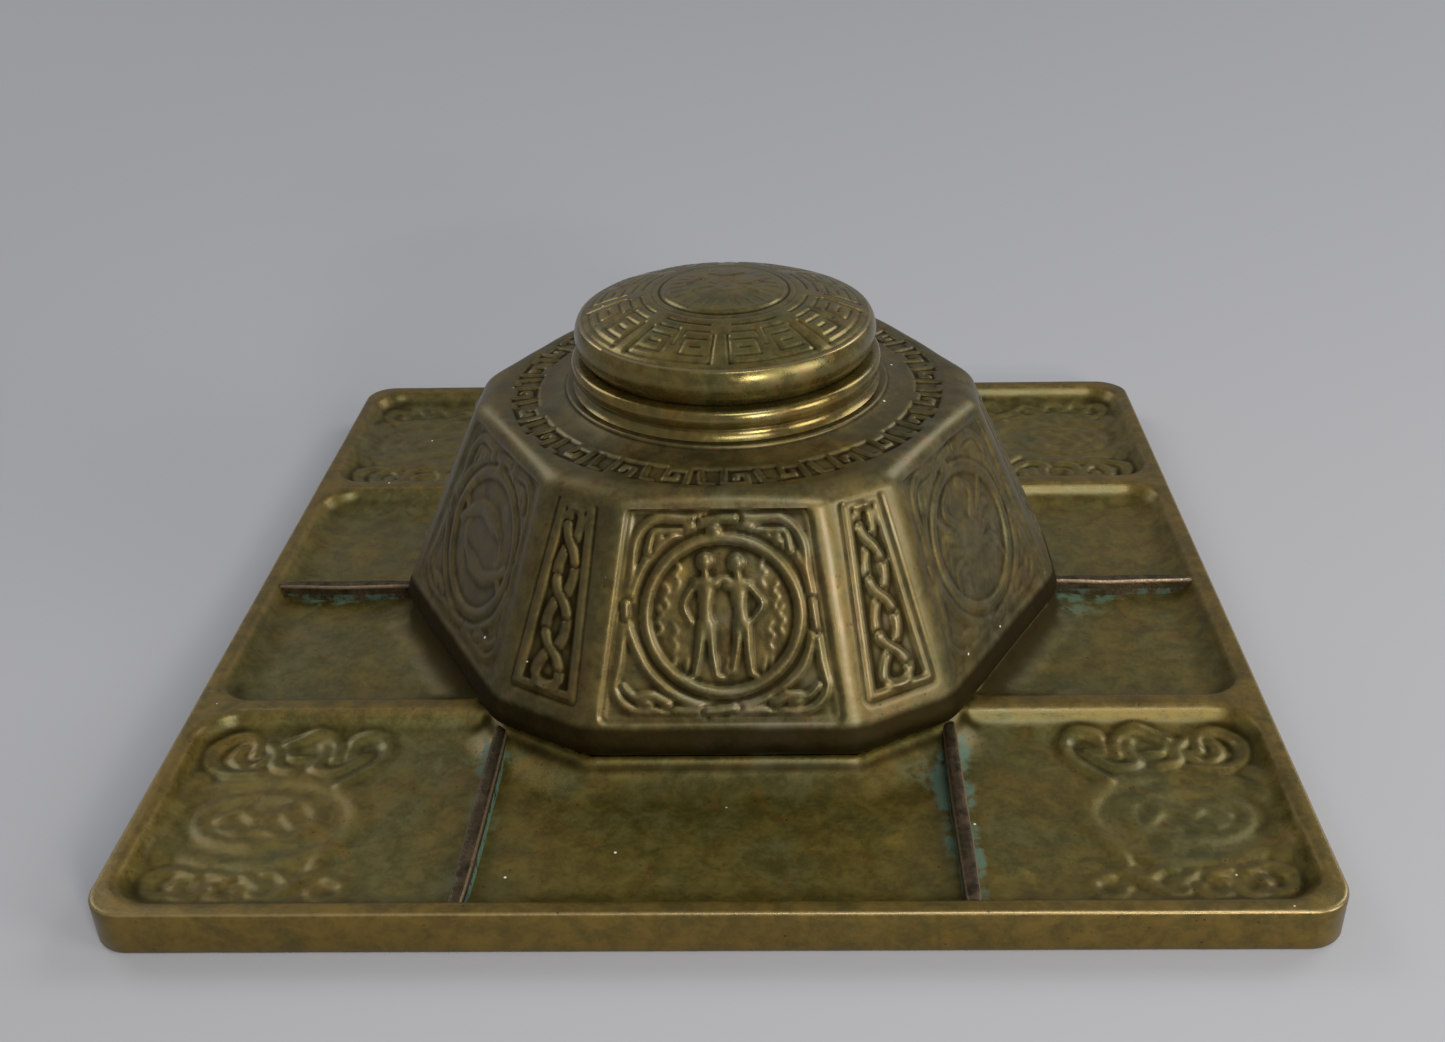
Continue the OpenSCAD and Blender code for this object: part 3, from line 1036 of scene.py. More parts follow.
        edge = np.concatenate([index[0, :-1], index[:-1, -1], index[-1, :0:-1], index[:0:-1, 0]])
        flat = np.concatenate(s.points)[edge]
        corner = np.clip(np.abs(flat[:, :2]) - (self.half - self.corner), 0, None)
        out = np.sign(flat[:, :2]) * corner
        side = np.abs(flat[:, :2]) >= inner_half - 1e-6
        single = (corner > 1e-6).sum(1) < 2
        out = np.where(single[:, None], np.sign(flat[:, :2]) * side, out)
        out /= np.linalg.norm(out, axis=1, keepdims=True)
        last = edge

        def carry_on(ring: np.ndarray) -> np.ndarray:
            """Joins the next ring to the last one and returns its points."""
            nonlocal last
            now = s.ring(ring)
            s.bridge(last, now)
            last = now
            return now

        for t in (22, 45, 67, 90):
            a = math.radians(t)
            ring = flat.copy()
            ring[:, :2] += out * self.edge_round * math.sin(a)
            ring[:, 2] = flat[:, 2] - self.edge_round * (1 - math.cos(a))
            now = carry_on(ring)
            s.mark("rub_and_shade", now, np.full(len(now), 0.36 if t < 60 else 0.10))
            s.mark("lie", now, np.ones(len(now)))
        rng = waver((4, len(edge)), 6, 8, True)
        for height, inset in ((0.66, 0.0), (0.33, 0.0), (0.07, 0.0), (0.02, 0.3), (0.0, 0.7)):
            ring = flat.copy()
            ring[:, :2] += out * (self.edge_round - inset - 0.02 * np.abs(rng[0])[:, None])
            ring[:, 2] = height * (self.top - self.edge_round)
            now = carry_on(ring)
            s.mark("lie", now, np.ones(len(now)))
        hollow = self.floor - self.skin
        for inset, z_at in ((self.foot_band, 0.0), (self.foot_band + 0.2, hollow)):
            ring = flat.copy()
            ring[:, :2] += out * (self.edge_round - inset)
            ring[:, 2] = z_at
            carry_on(ring)
        turn = np.arctan2(flat[:, 1], flat[:, 0])
        unit = np.stack([np.cos(turn), np.sin(turn)], -1)
        reach = (self.plateau - self.skin) / self.apothem(unit[:, 0], unit[:, 1])
        ceiling = self.top - self.seat_depth - self.skin
        for z_at in (hollow, ceiling):
            carry_on(np.column_stack([unit * reach[:, None], np.full(len(unit), z_at)]))
        s.fan(last, np.array([0, 0, ceiling]))
        settle(s.build("tray_casting"), "tray", "tray_bronze", finish, "tray")


@dataclass
class Dividers:
    """Strips that part the troughs."""

    straight_lens: float = 0.12
    half_moon_lens: float = 0.55
    fill: float = 0.93
    end_gap: float = 0.05
    end_share: float = 0.018
    spacing: float = 0.7
    section: tuple[tuple[float, float], ...] = (
        (-1, 0.0), (-1, 0.35), (-1, 0.7), (-0.97, 0.84), (-0.86, 0.94), (-0.66, 0.99),
        (-0.3, 1.0), (0.3, 1.0), (0.66, 0.99), (0.86, 0.94), (0.97, 0.84), (1, 0.7),
        (1, 0.35), (1, 0.0))

    def strip(self, name: str, node: str, along: int, finish: bpy.types.Material,
              seed: int, lens: float) -> None:
        """Builds one strip.

        Args:
            name: Name of the piece.
            node: Node that it replaces.
            along: Axis that it runs along, 0 or 1.
            finish: Its copper.
            seed: Seed of its unevenness.
            lens: How much it narrows towards its ends.
        """
        low, high = span(node)
        mid = (low + high) / 2
        across = 1 - along
        half = (high[across] - low[across]) / 2
        length = high[along] - low[along]
        n = int(length / self.spacing)
        t = np.linspace(0, 1, n)
        width = half * (1 - lens * np.abs(2 * t - 1) ** 2.5) * self.fill
        ends = np.minimum(step(t, 0, self.end_share), step(1 - t, 0, self.end_share))
        wobble = waver((3, n), 7, seed) * 0.10
        tall = (high[2] - low[2]) * (0.97 - 0.03 * np.abs(2 * t - 1)) - 0.10
        rise = low[2] + tall + np.minimum(wobble[0], 0.1) * 0.8 - 0.35 * (1 - ends)
        grid = np.zeros((n, len(self.section), 3))
        for j, (u, v) in enumerate(self.section):
            side = width * (0.86 + 0.14 * ends) * u + wobble[1] * (1 if u > 0 else 0.6) * 0.6
            grid[:, j, across] = mid[across] + np.clip(side, -half, half)
            grid[:, j, along] = low[along] + self.end_gap + t * (length - 2 * self.end_gap)
            grid[:, j, 2] = low[2] + (rise - low[2]) * v
        s = Surface()
        index = s.grid(grid, wrap_cols=True)
        s.fan(index[0], grid[0].mean(0))
        s.fan(index[-1][::-1], grid[-1].mean(0))
        u, v = np.array(self.section).T
        s.mark("rub_and_shade", index, np.tile(0.13 * ((v > 0.8) & (v < 0.99)), (n, 1)))
        seam = 0.75 if along else 0.45
        s.mark("damp", index, np.tile((v < 0.5) * seam + 0.15 * (u > 0), (n, 1)))
        settle(s.build(name), "tray", "strip_bronze", finish, node)

    def build(self, finish: bpy.types.Material) -> None:
        """Builds the six strips.

        Args:
            finish: Their copper.
        """
        for i, place in enumerate(("front_left", "front_right", "back_left", "back_right")):
            self.strip(f"strip_{place}", f"divider_{place}", 1, finish, 20 + i,
                       self.straight_lens)
        for i, place in enumerate(("left", "right")):
            self.strip(f"strip_{place}", f"divider_{place}", 0, finish, 30 + i,
                       self.half_moon_lens)


# ---- Well ----


class Motif(Enum):
    """What a wide panel shows inside its ring."""

    TWINS = "twins"
    CRAB = "crab"
    SCALES = "scales"
    STAR = "star"
    BRANCH = "branch"
    FISHES = "fishes"


@dataclass
class WidePanel:
    """Sunk panel with a woven border, a ring and a figure inside it."""

    motif: Motif
    seed: int
    low: float = 4.7
    high: float = 53.5
    half_low: float = 27.9
    half_high: float = 20.2
    ring_x: float = 0.8
    ring_y: float = 29.0
    ring_r: float = 17.0
    strength: float = 1.0

    def side_at(self, v: float, inset: float) -> float:
        """Half the panel's width at a height, less an inset."""
        share = (v - self.low) / (self.high - self.low)
        return self.half_low + (self.half_high - self.half_low) * share - inset

    def border(self, r: Relief) -> None:
        """Weaves the ribbons between the panel's edge and the ring.

        Args:
            r: Relief that the ribbons are laid on.
        """
        inset, out = 3.3, self.ring_r + 3.7
        top, bottom, mid = self.high - inset, self.low + inset, self.ring_y
        left = -self.side_at(mid, inset)
        marks = {"l": (left, mid), "r": (-left, mid), "t": (0.0, top), "b": (0.0, bottom)}
        head, foot = self.side_at(top, inset), self.side_at(bottom, inset)
        corners = {"tl": (-head, top), "tr": (head, top),
                   "bl": (-foot, bottom), "br": (foot, bottom)}
        angle = {"tr": 46.0, "tl": 134.0, "bl": 226.0, "br": 314.0}

        def edge(corner: str, one: str, two: str) -> Points:
            """Run along the panel's edge from one side's middle to the next, round the corner."""
            (ax, ay), (bx, by), (cx, cy) = marks[one], marks[two], corners[corner]
            near = [(cx + (ax - cx) * s, cy + (ay - cy) * s) for s in (0.55, 0.20)]
            far = [(cx + (bx - cx) * s, cy + (by - cy) * s) for s in (0.20, 0.55)]
            return [(ax, ay), *near, *far, (bx, by)]

        def inner(corner: str, one: str, two: str) -> Points:
            """Run beside the ring between the same two places."""
            a = math.radians(angle[corner])
            turns = [a + d for d in (-0.30, 0.0, 0.30)]
            ring = [(self.ring_x + out * math.cos(t), self.ring_y + out * math.sin(t))
                    for t in turns]
            (ax, ay) = marks[one]
            if math.hypot(ring[0][0] - ax, ring[0][1] - ay) > math.hypot(
                    ring[-1][0] - ax, ring[-1][1] - ay):
                ring.reverse()
            return [marks[one], *ring, marks[two]]

        first = (edge("tl", "l", "t") + inner("tr", "t", "r")[1:] + edge("br", "r", "b")[1:]
                 + inner("bl", "b", "l")[1:-1])
        second = (inner("tl", "l", "t") + edge("tr", "t", "r")[1:] + inner("br", "r", "b")[1:]
                  + edge("bl", "b", "l")[1:-1])
        strands = [curve(first, True), curve(second, True)]
        r.weave(strands, [marks[k] for k in "ltrb"], 1.15, 0.78 * (0.2 + 0.8 * self.strength),
                0.34, 4.2, first=self.seed % 2)
        foot, head = foot - 2.6, head - 2.4
        for side in (-1, 1):
            r.stroke(curve([(side * (foot - 9.5), bottom + 1.6),
                            (side * (foot - 6.0), bottom + 3.4),
                            (side * (foot - 2.2), bottom + 3.2),
                            (side * (foot + 0.3), bottom + 5.6)]),
                     1.5, 0.9 * self.strength, moat=0.3, end_half=0.8)
            r.blob(side * (foot - 4.6), bottom + 1.9, 2.4, 1.3, 0.95 * self.strength, 12 * side)
            r.stroke(curve([(side * (head + 0.6), top - 7.0), (side * (head - 0.6), top - 2.9),
                            (side * (head - 3.6), top - 2.6), (side * (head - 7.0), top - 2.4)]),
                     0.95, 0.8 * self.strength, moat=0.25, end_half=0.6)
            r.blob(side * (head - 2.2), top - 4.6, 1.2, 1.5, 0.8 * self.strength)

    def figure(self, r: Relief) -> None:
        """Models what stands inside the ring.

        Args:
            r: Relief that it is modelled on.
        """
        shapes = {Motif.TWINS: self.twins, Motif.CRAB: self.crab, Motif.FISHES: self.fishes,
                  Motif.SCALES: self.scales, Motif.STAR: self.star, Motif.BRANCH: self.branch}
        shapes[self.motif](r)

    def limb(self, r: Relief, points: Points, half: float, end_half: float,
             height: float) -> None:
        """Lays a rounded, tapering part of a figure.

        Args:
            r: Relief that it is modelled on.
            points: Points that its middle passes through.
            half: Half its width at the start.
            end_half: Half its width at the end.
            height: How far it stands up at full strength.
        """
        r.stroke(curve(points), half, height * self.strength, end_half=end_half, power=0.6)

    def twins(self, r: Relief) -> None:
        """Two standing figures with their arms joined, and flames around them.

        Args:
            r: Relief that it is modelled on.
        """
        k = self.strength
        for hip, feet, neck, head, arms in (
                ((-3.0, 26.6), ((-5.6, 15.4), (-0.9, 15.2)), (-3.0, 37.4), (-3.2, 41.0),
                 (((-5.4, 36.0), (-7.9, 31.4), (-6.3, 27.4)),)),
                ((5.0, 26.8), ((2.9, 16.2), (6.9, 15.6)), (4.2, 37.0), (3.7, 40.6),
                 (((6.6, 35.6), (9.4, 31.6), (6.9, 27.6)),))):
            for foot in feet:
                side = math.copysign(1.0, foot[0] - hip[0])
                knee = ((hip[0] + foot[0]) / 2 + 0.3 * side, (hip[1] + foot[1]) / 2 - 0.2)
                self.limb(r, [(hip[0] + 0.8 * side, hip[1] + 0.6), knee], 1.40, 0.90, 0.90)
                self.limb(r, [knee, (foot[0], foot[1] + 0.8)], 1.00, 0.55, 0.80)
                self.limb(r, [(foot[0], foot[1] + 0.5), (foot[0] + 1.3 * side, foot[1])],
                          0.7, 0.6, 0.7)
            waist = ((neck[0] + hip[0]) / 2, 30.6)
            self.limb(r, [(neck[0], neck[1] - 1.6), waist], 2.35, 1.45, 0.98)
            self.limb(r, [waist, hip], 1.45, 1.85, 0.95)
            self.limb(r, [(neck[0] - 2.3, neck[1] - 1.3), (neck[0] + 2.3, neck[1] - 1.3)],
                      1.15, 1.15, 0.95)
            for arm in arms:
                self.limb(r, list(arm), 0.78, 0.58, 0.80)
            self.limb(r, [neck, head], 0.85, 0.85, 0.85)
            r.blob(*head, 1.95, 2.2, 1.15 * k, power=0.5)
        self.limb(r, [(-1.4, 36.6), (1.0, 37.2), (3.0, 36.2)], 0.85, 0.75, 0.85)
        for x, y, w in ((-12.2, 33, 1), (-10.4, 24, 1), (12.6, 33, -1), (11.4, 24.5, -1),
                        (-13.6, 28, 1), (13.8, 28, -1), (-9.6, 38, 1), (9.8, 38.4, -1)):
            r.stroke(curve([(x, y + 3), (x + 0.9 * w, y + 1.4), (x - 0.3 * w, y),
                            (x + 0.7 * w, y - 1.6), (x, y - 3)]), 0.5, 0.34 * k)
        for x in (-10.5, -7.8, 1.2, 9.4, 11.0):
            r.stroke([(x, 15.6), (x + 0.5, 19.6)], 0.45, 0.30 * k)

    def crab(self, r: Relief) -> None:
        """Crab with four pairs of legs and two claws.

        Args:
            r: Relief that it is modelled on.
        """
        k = self.strength
        r.blob(0, 29, 6.6, 4.9, 0.95 * k)
        for side in (-1, 1):
            for y0, bend, y1 in ((32.6, 36.5, 40.5), (30.4, 33.6, 33.0), (28.0, 29.2, 25.4),
                                 (25.8, 24.8, 19.0)):
                self.limb(r, [(5.4 * side, y0), (10.2 * side, bend), (12.2 * side, y1)],
                          0.85, 0.4, 0.75)
            self.limb(r, [(3.6 * side, 33.2), (7.0 * side, 38.4), (3.8 * side, 42.0)],
                      1.2, 0.7, 0.85)
            r.blob(2.9 * side, 41.6, 1.5, 2.4, 0.8 * k, 24 * side)

    def fishes(self, r: Relief) -> None:
        """Two fishes that turn about each other.

        Args:
            r: Relief that it is modelled on.
        """
        for turn in (0.0, 180.0):
            c, s = math.cos(math.radians(turn + 14)), math.sin(math.radians(turn + 14))

            def at(u: float, v: float) -> tuple[float, float]:
                """Place on the fish, turned about the ring's middle."""
                return (self.ring_x + u * c - v * s, self.ring_y + u * s + v * c)

            self.limb(r, [at(-10.5, 6.0), at(-3, 8.0), at(4.5, 5.6)], 1.4, 2.9, 0.95)
            self.limb(r, [at(4.5, 5.6), at(8.8, 2.8)], 2.6, 1.0, 0.95)
            self.limb(r, [at(-10.5, 6.0), at(-13.0, 9.4)], 0.9, 1.4, 0.7)
            self.limb(r, [at(-10.5, 6.0), at(-13.8, 4.0)], 0.9, 1.4, 0.7)
            self.limb(r, [at(8.8, 2.8), at(10.2, -2.0), at(8.6, -4.0)], 0.45, 0.4, 0.4)

    def scales(self, r: Relief) -> None:
        """Pair of scales on a post.

        Args:
            r: Relief that it is modelled on.
        """
        k = self.strength
        self.limb(r, [(0.4, 16.5), (0.4, 42.0)], 0.9, 0.9, 0.85)
        self.limb(r, [(-10.5, 38.0), (0.4, 40.4), (11.3, 38.0)], 0.75, 0.75, 0.85)
        self.limb(r, [(-5, 16.4), (6, 16.4)], 1.1, 1.1, 0.8)
        r.blob(0.4, 43.0, 1.6, 1.6, 0.9 * k)
        for x in (-9.9, 10.7):
            for d in (-3.6, 3.6):
                self.limb(r, [(x, 37.6), (x + d, 26.8)], 0.38, 0.38, 0.5)
            r.blob(x, 25.6, 4.6, 1.9, 0.85 * k)

    def star(self, r: Relief) -> None:
        """Star with four long points and four short ones.

        Args:
            r: Relief that it is modelled on.
        """
        k = self.strength
        for i in range(8):
            a, reach = math.radians(45 * i), 9.0 if i % 2 else 14.0
            self.limb(r, [(0.4, 29.4), (0.4 + reach * math.cos(a), 29.4 + reach * math.sin(a))],
                      2.6, 0.3, 0.85)
        r.blob(0.4, 29.4, 3.4, 3.4, 1.1 * k)

    def branch(self, r: Relief) -> None:
        """Branch with three pairs of leaves.

        Args:
            r: Relief that it is modelled on.
        """
        k = self.strength
        self.limb(r, [(-3.5, 15.5), (-0.5, 23.5), (1.2, 32.0), (0.2, 42.8)], 1.1, 0.5, 0.85)
        for y, side, turn in ((20.5, 1, 38), (24.0, -1, 142), (28.0, 1, 40), (31.5, -1, 138),
                              (35.5, 1, 48), (38.5, -1, 130)):
            r.blob(side * 5.2 - 0.2, y + 3.6, 5.2, 1.75, 0.8 * k, turn)

    def work(self, across: np.ndarray, along: np.ndarray) -> np.ndarray:
        """Heights of the whole panel.

        Args:
            across: Places across the face.
            along: Places up the face.

        Returns:
            Heights above the plain face.
        """
        r = Relief(across, along)
        frame_at = frame_distance(across, along, self.low, self.high, self.half_low,
                                  self.half_high, 2.6)
        firm = 0.35 + 0.65 * self.strength
        r.sink(frame_at, 0.85 * firm, 1.0)
        lip = np.exp(-((frame_at + 1.45) / 0.55) ** 2) * 0.38 * firm
        r.height += lip
        inside = np.hypot(across - self.ring_x, along - self.ring_y)
        r.sink(inside - self.ring_r, 0.22, 2.0)
        self.border(r)
        ring = [(self.ring_x + self.ring_r * math.cos(t), self.ring_y + self.ring_r * math.sin(t))
                for t in np.linspace(0, 2 * math.pi, 90)]
        r.stroke(ring, 1.45, 0.95 * self.strength, moat=0.25, power=0.62)
        r.blob(self.ring_x - 1.8, 47.6, 2.0, 1.8, 1.1 * self.strength)
        self.figure(r)
        rough = waver(across.shape, 5.0, self.seed)
        r.height += 0.05 * rough * step(-frame_at, 0, 2)
        soft = 0.5 + 0.9 * (1 - self.strength)
        return blur(blur(r.height, soft, 0), soft, 1)


@dataclass
class NarrowPanel:
    """Slim panel with a raised frame and a plait of two strands."""

    seed: int
    low: float = 8.0
    high: float = 53.0
    half_low: float = 9.4
    half_high: float = 5.2
    samples: int = 160
    turns: int = 3

    def work(self, across: np.ndarray, along: np.ndarray) -> np.ndarray:
        """Heights of the whole panel.

        Args:
            across: Places across the face.
            along: Places up the face.

        Returns:
            Heights above the plain face.
        """
        r = Relief(across, along)
        outer = frame_distance(across, along, self.low, self.high, self.half_low,
                               self.half_high, 1.6)
        r.height -= 0.42 * np.exp(-((outer + 0.1) / 0.55) ** 2)
        r.height += 0.22 * np.exp(-((outer + 1.6) / 0.75) ** 2)
        r.sink(outer + 2.2, 0.68, 1.0)
        strands = []
        bottom, top = self.low + 4.6, self.high - 4.4
        for side in (-1, 1):
            line = []
            for i in range(self.samples + 1):
                t = i / self.samples
                y = bottom + (top - bottom) * t
                wide = 4.35 - 2.0 * t
                swing = math.sin(math.pi * (self.turns * t + 0.5))
                line.append((side * wide * math.copysign(abs(swing) ** 0.72, swing) * 0.76, y))
            line = np.array(line)
            strands.append(np.column_stack([blur(line[:, :1], 3.0, 0), line[:, 1:]]))
        crossings = [(0.0, bottom + (top - bottom) * (i + 0.5) / self.turns)
                     for i in range(self.turns)]
        for end, narrow, past_side, past_middle in ((0, 0.8, bottom - 1.1, bottom - 1.9),
                                                    (-1, 0.7, top + 1.2, top + 1.8)):
            one, two = strands[0][end], strands[1][end]
            loop = [tuple(one), (one[0] * narrow, past_side), (0.0, past_middle),
                    (two[0] * narrow, past_side), tuple(two)]
            r.stroke(curve(loop), 1.25, 0.8, power=0.7)
        r.weave(strands, crossings, 1.42, 0.82, 0.28, 4.2, first=self.seed % 2)
        r.height += 0.04 * waver(across.shape, 4.0, self.seed) * step(-outer, 2, 4)
        return blur(blur(r.height, 0.6, 0), 0.6, 1)


@dataclass
class Well:
    """Twelve-sided housing with leaning faces, a rounded shoulder and a turned crown."""

    low: np.ndarray
    high: np.ndarray
    widest_z: float = 15.4
    foot_a: float = 75.5
    foot_z: float = 10.7
    shoulder_a: float = 58.1
    shoulder_z: float = 66.0
    shoulder_r: float = 4.5
    shoulder_top: float = 67.36
    wall: float = 3.0
    bore: float = 31.5
    pot_bore: float = 26.6
    ledge_z: float = 68.86
    ring_r: float = 38.25
    band_in: float = 46.4
    band_out: float = 54.0
    band_rise: float = 0.42
    bead_r: float = 0.9
    shoulder_roundness: float = 0.42
    fret_r: float = 50.0
    keys: int = 24
    wide_half: float = math.radians(21.4)
    wide_cols: int = 130
    narrow_cols: int = 52

    def __post_init__(self) -> None:
        """Works out the sizes that follow from the box."""
        self.widest_a = self.high[1]
        self.foot_low = self.low[2]
        self.top = self.high[2]
        rise = self.shoulder_z - self.widest_z
        self.lean = math.atan((self.widest_a - self.shoulder_a) / rise)
        self.slant = rise / math.cos(self.lean)

    def columns(self) -> tuple[np.ndarray, np.ndarray, np.ndarray]:
        """Outline of the well at unit size.

        Returns:
            Points of the outline, the share across its face of each point from -1 to 1, and the
            face that each one lies on.
        """
        points, shares, faces = [], [], []
        narrow_half = math.pi / 6 - self.wide_half
        far = math.cos(narrow_half) / math.cos(self.wide_half)
        for k in range(12):
            wide = k % 2 == 0
            turn = math.radians(-90 + 30 * k)
            n = self.wide_cols if wide else self.narrow_cols
            a, half = (1.0, self.wide_half) if wide else (far, narrow_half)
            share = (np.arange(n) + 0.5) / n * 2 - 1
            u = share * a * math.tan(half)
            points.append(np.stack([a * math.cos(turn) - u * math.sin(turn),
                                    a * math.sin(turn) + u * math.cos(turn)], -1))
            shares.append(share)
            faces.append(np.full(n, k))
        return np.concatenate(points), np.concatenate(shares), np.concatenate(faces)

    def profile(self) -> tuple[np.ndarray, dict[str, slice]]:
        """Section of the housing.

        Returns:
            Size, height and roundness (0 twelve-sided, 1 round) of each row, and where its parts
            are.
        """
        rows: list[np.ndarray] = []
        parts: dict[str, slice] = {}

        def add(name: str, points: np.ndarray) -> None:
            """Adds rows under a name."""
            start = sum(len(r) for r in rows)
            rows.append(points)
            parts[name] = slice(start, start + len(points))

        add("foot", sample([(self.foot_a - self.wall, self.foot_low, 0),
                            (self.foot_a, self.foot_low, 0),
                            (self.foot_a, self.foot_z - 0.1, 0)], [2, 3]))
        t = np.linspace(0, math.pi / 2, 14)[:-1]
        a = self.foot_a + (self.widest_a - self.foot_a) * np.sin(t)
        z = self.foot_z + (self.widest_z - self.foot_z) * (1 - np.cos(t))
        add("tuck", np.column_stack([a, z, 0 * a]))
        v = np.linspace(0, 1, 117)[:-1]
        face_top = self.shoulder_top - 1.2 * self.shoulder_r * (1 - math.sin(self.lean))
        turn_in = math.cos(math.radians(40))
        top_a = self.shoulder_a + self.shoulder_r * (math.cos(self.lean) - turn_in)
        add("face", np.column_stack([self.widest_a + (top_a - self.widest_a) * v,
                                     self.widest_z + (face_top - self.widest_z) * v, 0 * v]))
        t = np.linspace(self.lean, math.pi / 2, 13)[:-1]
        a = self.shoulder_a + self.shoulder_r * (np.cos(t) - turn_in)
        z = self.shoulder_top - 1.2 * self.shoulder_r * (1 - np.sin(t))
        rounder = self.shoulder_roundness * np.linspace(0, 1, len(a)) ** 1.3
        add("shoulder", np.column_stack([a, z, rounder]))
        edge_a = self.shoulder_a - self.shoulder_r * turn_in
        add("shelf", sample([(edge_a, self.shoulder_top, self.shoulder_roundness),
                             (self.band_out + 0.5, self.shoulder_top, 1)], [8]))
        bead = self.ring_r + 0.95
        bead_z = self.top - self.bead_r
        add("band", sample([(self.band_out + 0.5, self.shoulder_top, 1),
                            (self.band_in - 0.4, self.shoulder_top + self.band_rise, 1)],
                           [20]))
        t = np.linspace(0, 1, 14)[:-1]
        climb = bead_z - 0.1 - self.shoulder_top - self.band_rise
        add("cove", np.column_stack([
            self.band_in - 0.4 + (bead + 0.95 - self.band_in + 0.4) * t,
            self.shoulder_top + self.band_rise + climb * t ** 1.9, np.ones_like(t)]))
        t = np.linspace(0, math.pi / 2, 9)
        add("bead", np.column_stack([bead + self.bead_r * np.cos(t),
                                     bead_z + self.bead_r * np.sin(t), np.ones_like(t)]))
        add("inside", sample([(bead - 0.6, self.top, 1), (self.bore, self.top, 1),
                              (self.bore, self.ledge_z, 1), (self.pot_bore, self.ledge_z, 1),
                              (self.pot_bore, self.shoulder_top - self.wall, 1),
                              (self.shoulder_a - 7, self.shoulder_top - self.wall, 0.6),
                              (self.shoulder_a - 2.6, self.shoulder_z - 5.0, 0),
                              (self.widest_a - 3.3, self.widest_z + 1.5, 0),
                              (self.foot_a - self.wall, self.foot_z + 1.5, 0),
                              (self.foot_a - self.wall, self.foot_low, 0)],
                             [3, 2, 2, 3, 3, 2, 6, 2, 2]))
        return np.concatenate(rows), parts

    def fret(self, x: np.ndarray, y: np.ndarray) -> np.ndarray:
        """Key pattern in the sunk band of the crown.

        Args:
            x: Places on the crown.
            y: Places on the crown.

        Returns:
            Heights above the plain crown.
        """
        radius = np.hypot(x, y)
        turn = np.arctan2(y, x) + math.pi / 2
        pitch = 2 * math.pi * self.fret_r / self.keys
        r = Relief((turn % (2 * math.pi)) * self.fret_r, radius - self.band_in)
        width = self.band_out - self.band_in
        r.sink(np.maximum(-r.along, r.along - width), 0.62, 0.8)
        for i in range(self.keys):
            x0 = i * pitch
            key = [(1.1, 1.1), (1.1, 6.5), (6.1, 6.5), (6.1, 2.7), (3.7, 2.7), (3.7, 4.4)]
            if i % 2:
                key = [(7.2 - u, 7.6 - v) for u, v in key]
            r.stroke([(x0 + u, v) for u, v in key], 0.80, 0.62, power=0.45)
            r.stroke([(x0 + 8.7, 1.4), (x0 + 9.6, 6.4), (x0 + 11.4, 6.4)], 0.85, 0.60, power=0.45)
        return r.height

    def build(self, finish: bpy.types.Material) -> None:
        """Builds the housing.

        Args:
            finish: Its bronze.
        """
        outline, share, face = self.columns()
        rows, parts = self.profile()
        round_outline = blur(outline, 4.6, 0, True)
        circle = outline / np.linalg.norm(outline, axis=1, keepdims=True)
        low, high = parts["tuck"].start + 3, parts["face"].start + 24
        soft = rows[low:high].copy()
        for _ in range(10):
            soft[1:-1] = (soft[:-2] + 2 * soft[1:-1] + soft[2:]) / 4
        rows[low:high] = soft
        a, z, m = rows[:, 0:1, None], rows[:, 1:2, None], rows[:, 2:3, None]
        flat = a * ((1 - m) * round_outline + m * circle)
        grid = np.concatenate([flat, z + np.zeros((len(rows), len(outline), 1))], 2)
        outward = normals(grid, True, True)
        middle = grid[parts["face"]].reshape(-1, 3)
        if (outward[parts["face"]].reshape(-1, 3)[:, :2] * middle[:, :2]).sum() < 0:
            outward = -outward
        work = np.zeros(grid.shape[:2])
        rows_face = np.arange(parts["face"].start, parts["face"].stop)
        climb = np.linspace(0, 1, len(rows_face), endpoint=False) * self.slant * (
            (rows[rows_face[-1], 1] - self.widest_z) / (self.shoulder_z - self.widest_z))
        motifs = (Motif.TWINS, Motif.CRAB, Motif.STAR, Motif.SCALES, Motif.BRANCH, Motif.FISHES)
        for k in range(12):
            cols = np.nonzero(face == k)[0]
            wide = k % 2 == 0
            half = self.wide_half if wide else math.pi / 6 - self.wide_half
            far = 1.0 if wide else math.cos(half) / math.cos(self.wide_half)
            across = share[cols][None, :] * (rows[rows_face, 0] * far * math.tan(half))[:, None]
            along = np.repeat(climb[:, None], len(cols), 1)
            if wide:
                panel = WidePanel(motifs[k // 2], 40 + k, strength=0.80 if k == 0 else 0.50)
            else:
                panel = NarrowPanel(60 + k)
            work[np.ix_(rows_face, cols)] = panel.work(across, along)
        crown = np.r_[parts["band"].start:parts["cove"].start + 3]
        key = self.fret(grid[crown, :, 0], grid[crown, :, 1])
        work[crown] = blur(blur(key, 0.5, 0), 0.5, 1, True)
        wave = waver(grid.shape[:2], 10, 5, True)
        uneven = np.zeros(len(rows))
        uneven[parts["tuck"].start:parts["shelf"].stop] = 0.06
        uneven = blur(uneven, 3, 0)[:, None]
        grid = grid + outward * (work + wave * uneven - 0.08)[..., None]
        grid[..., 1] = np.clip(grid[..., 1], -self.widest_a, self.widest_a)
        grid[..., 0] = np.clip(grid[..., 0], -self.high[0], self.high[0])
        s = Surface()
        index = s.grid(grid, True, True)
        rub_and_shade = rub_of(grid, outward, 2.3, True, True)
        rub_and_shade = np.where(rub_and_shade < 0, rub_and_shade * 0.75, rub_and_shade) + 0.07 * np.minimum(work, 0)
        seam = np.zeros(grid.shape[:2])
        corner = np.abs(share) ** 6
        seam[parts["face"]] = corner * 0.06
        seam[parts["shoulder"]] = 0.03
        low = parts["face"].start
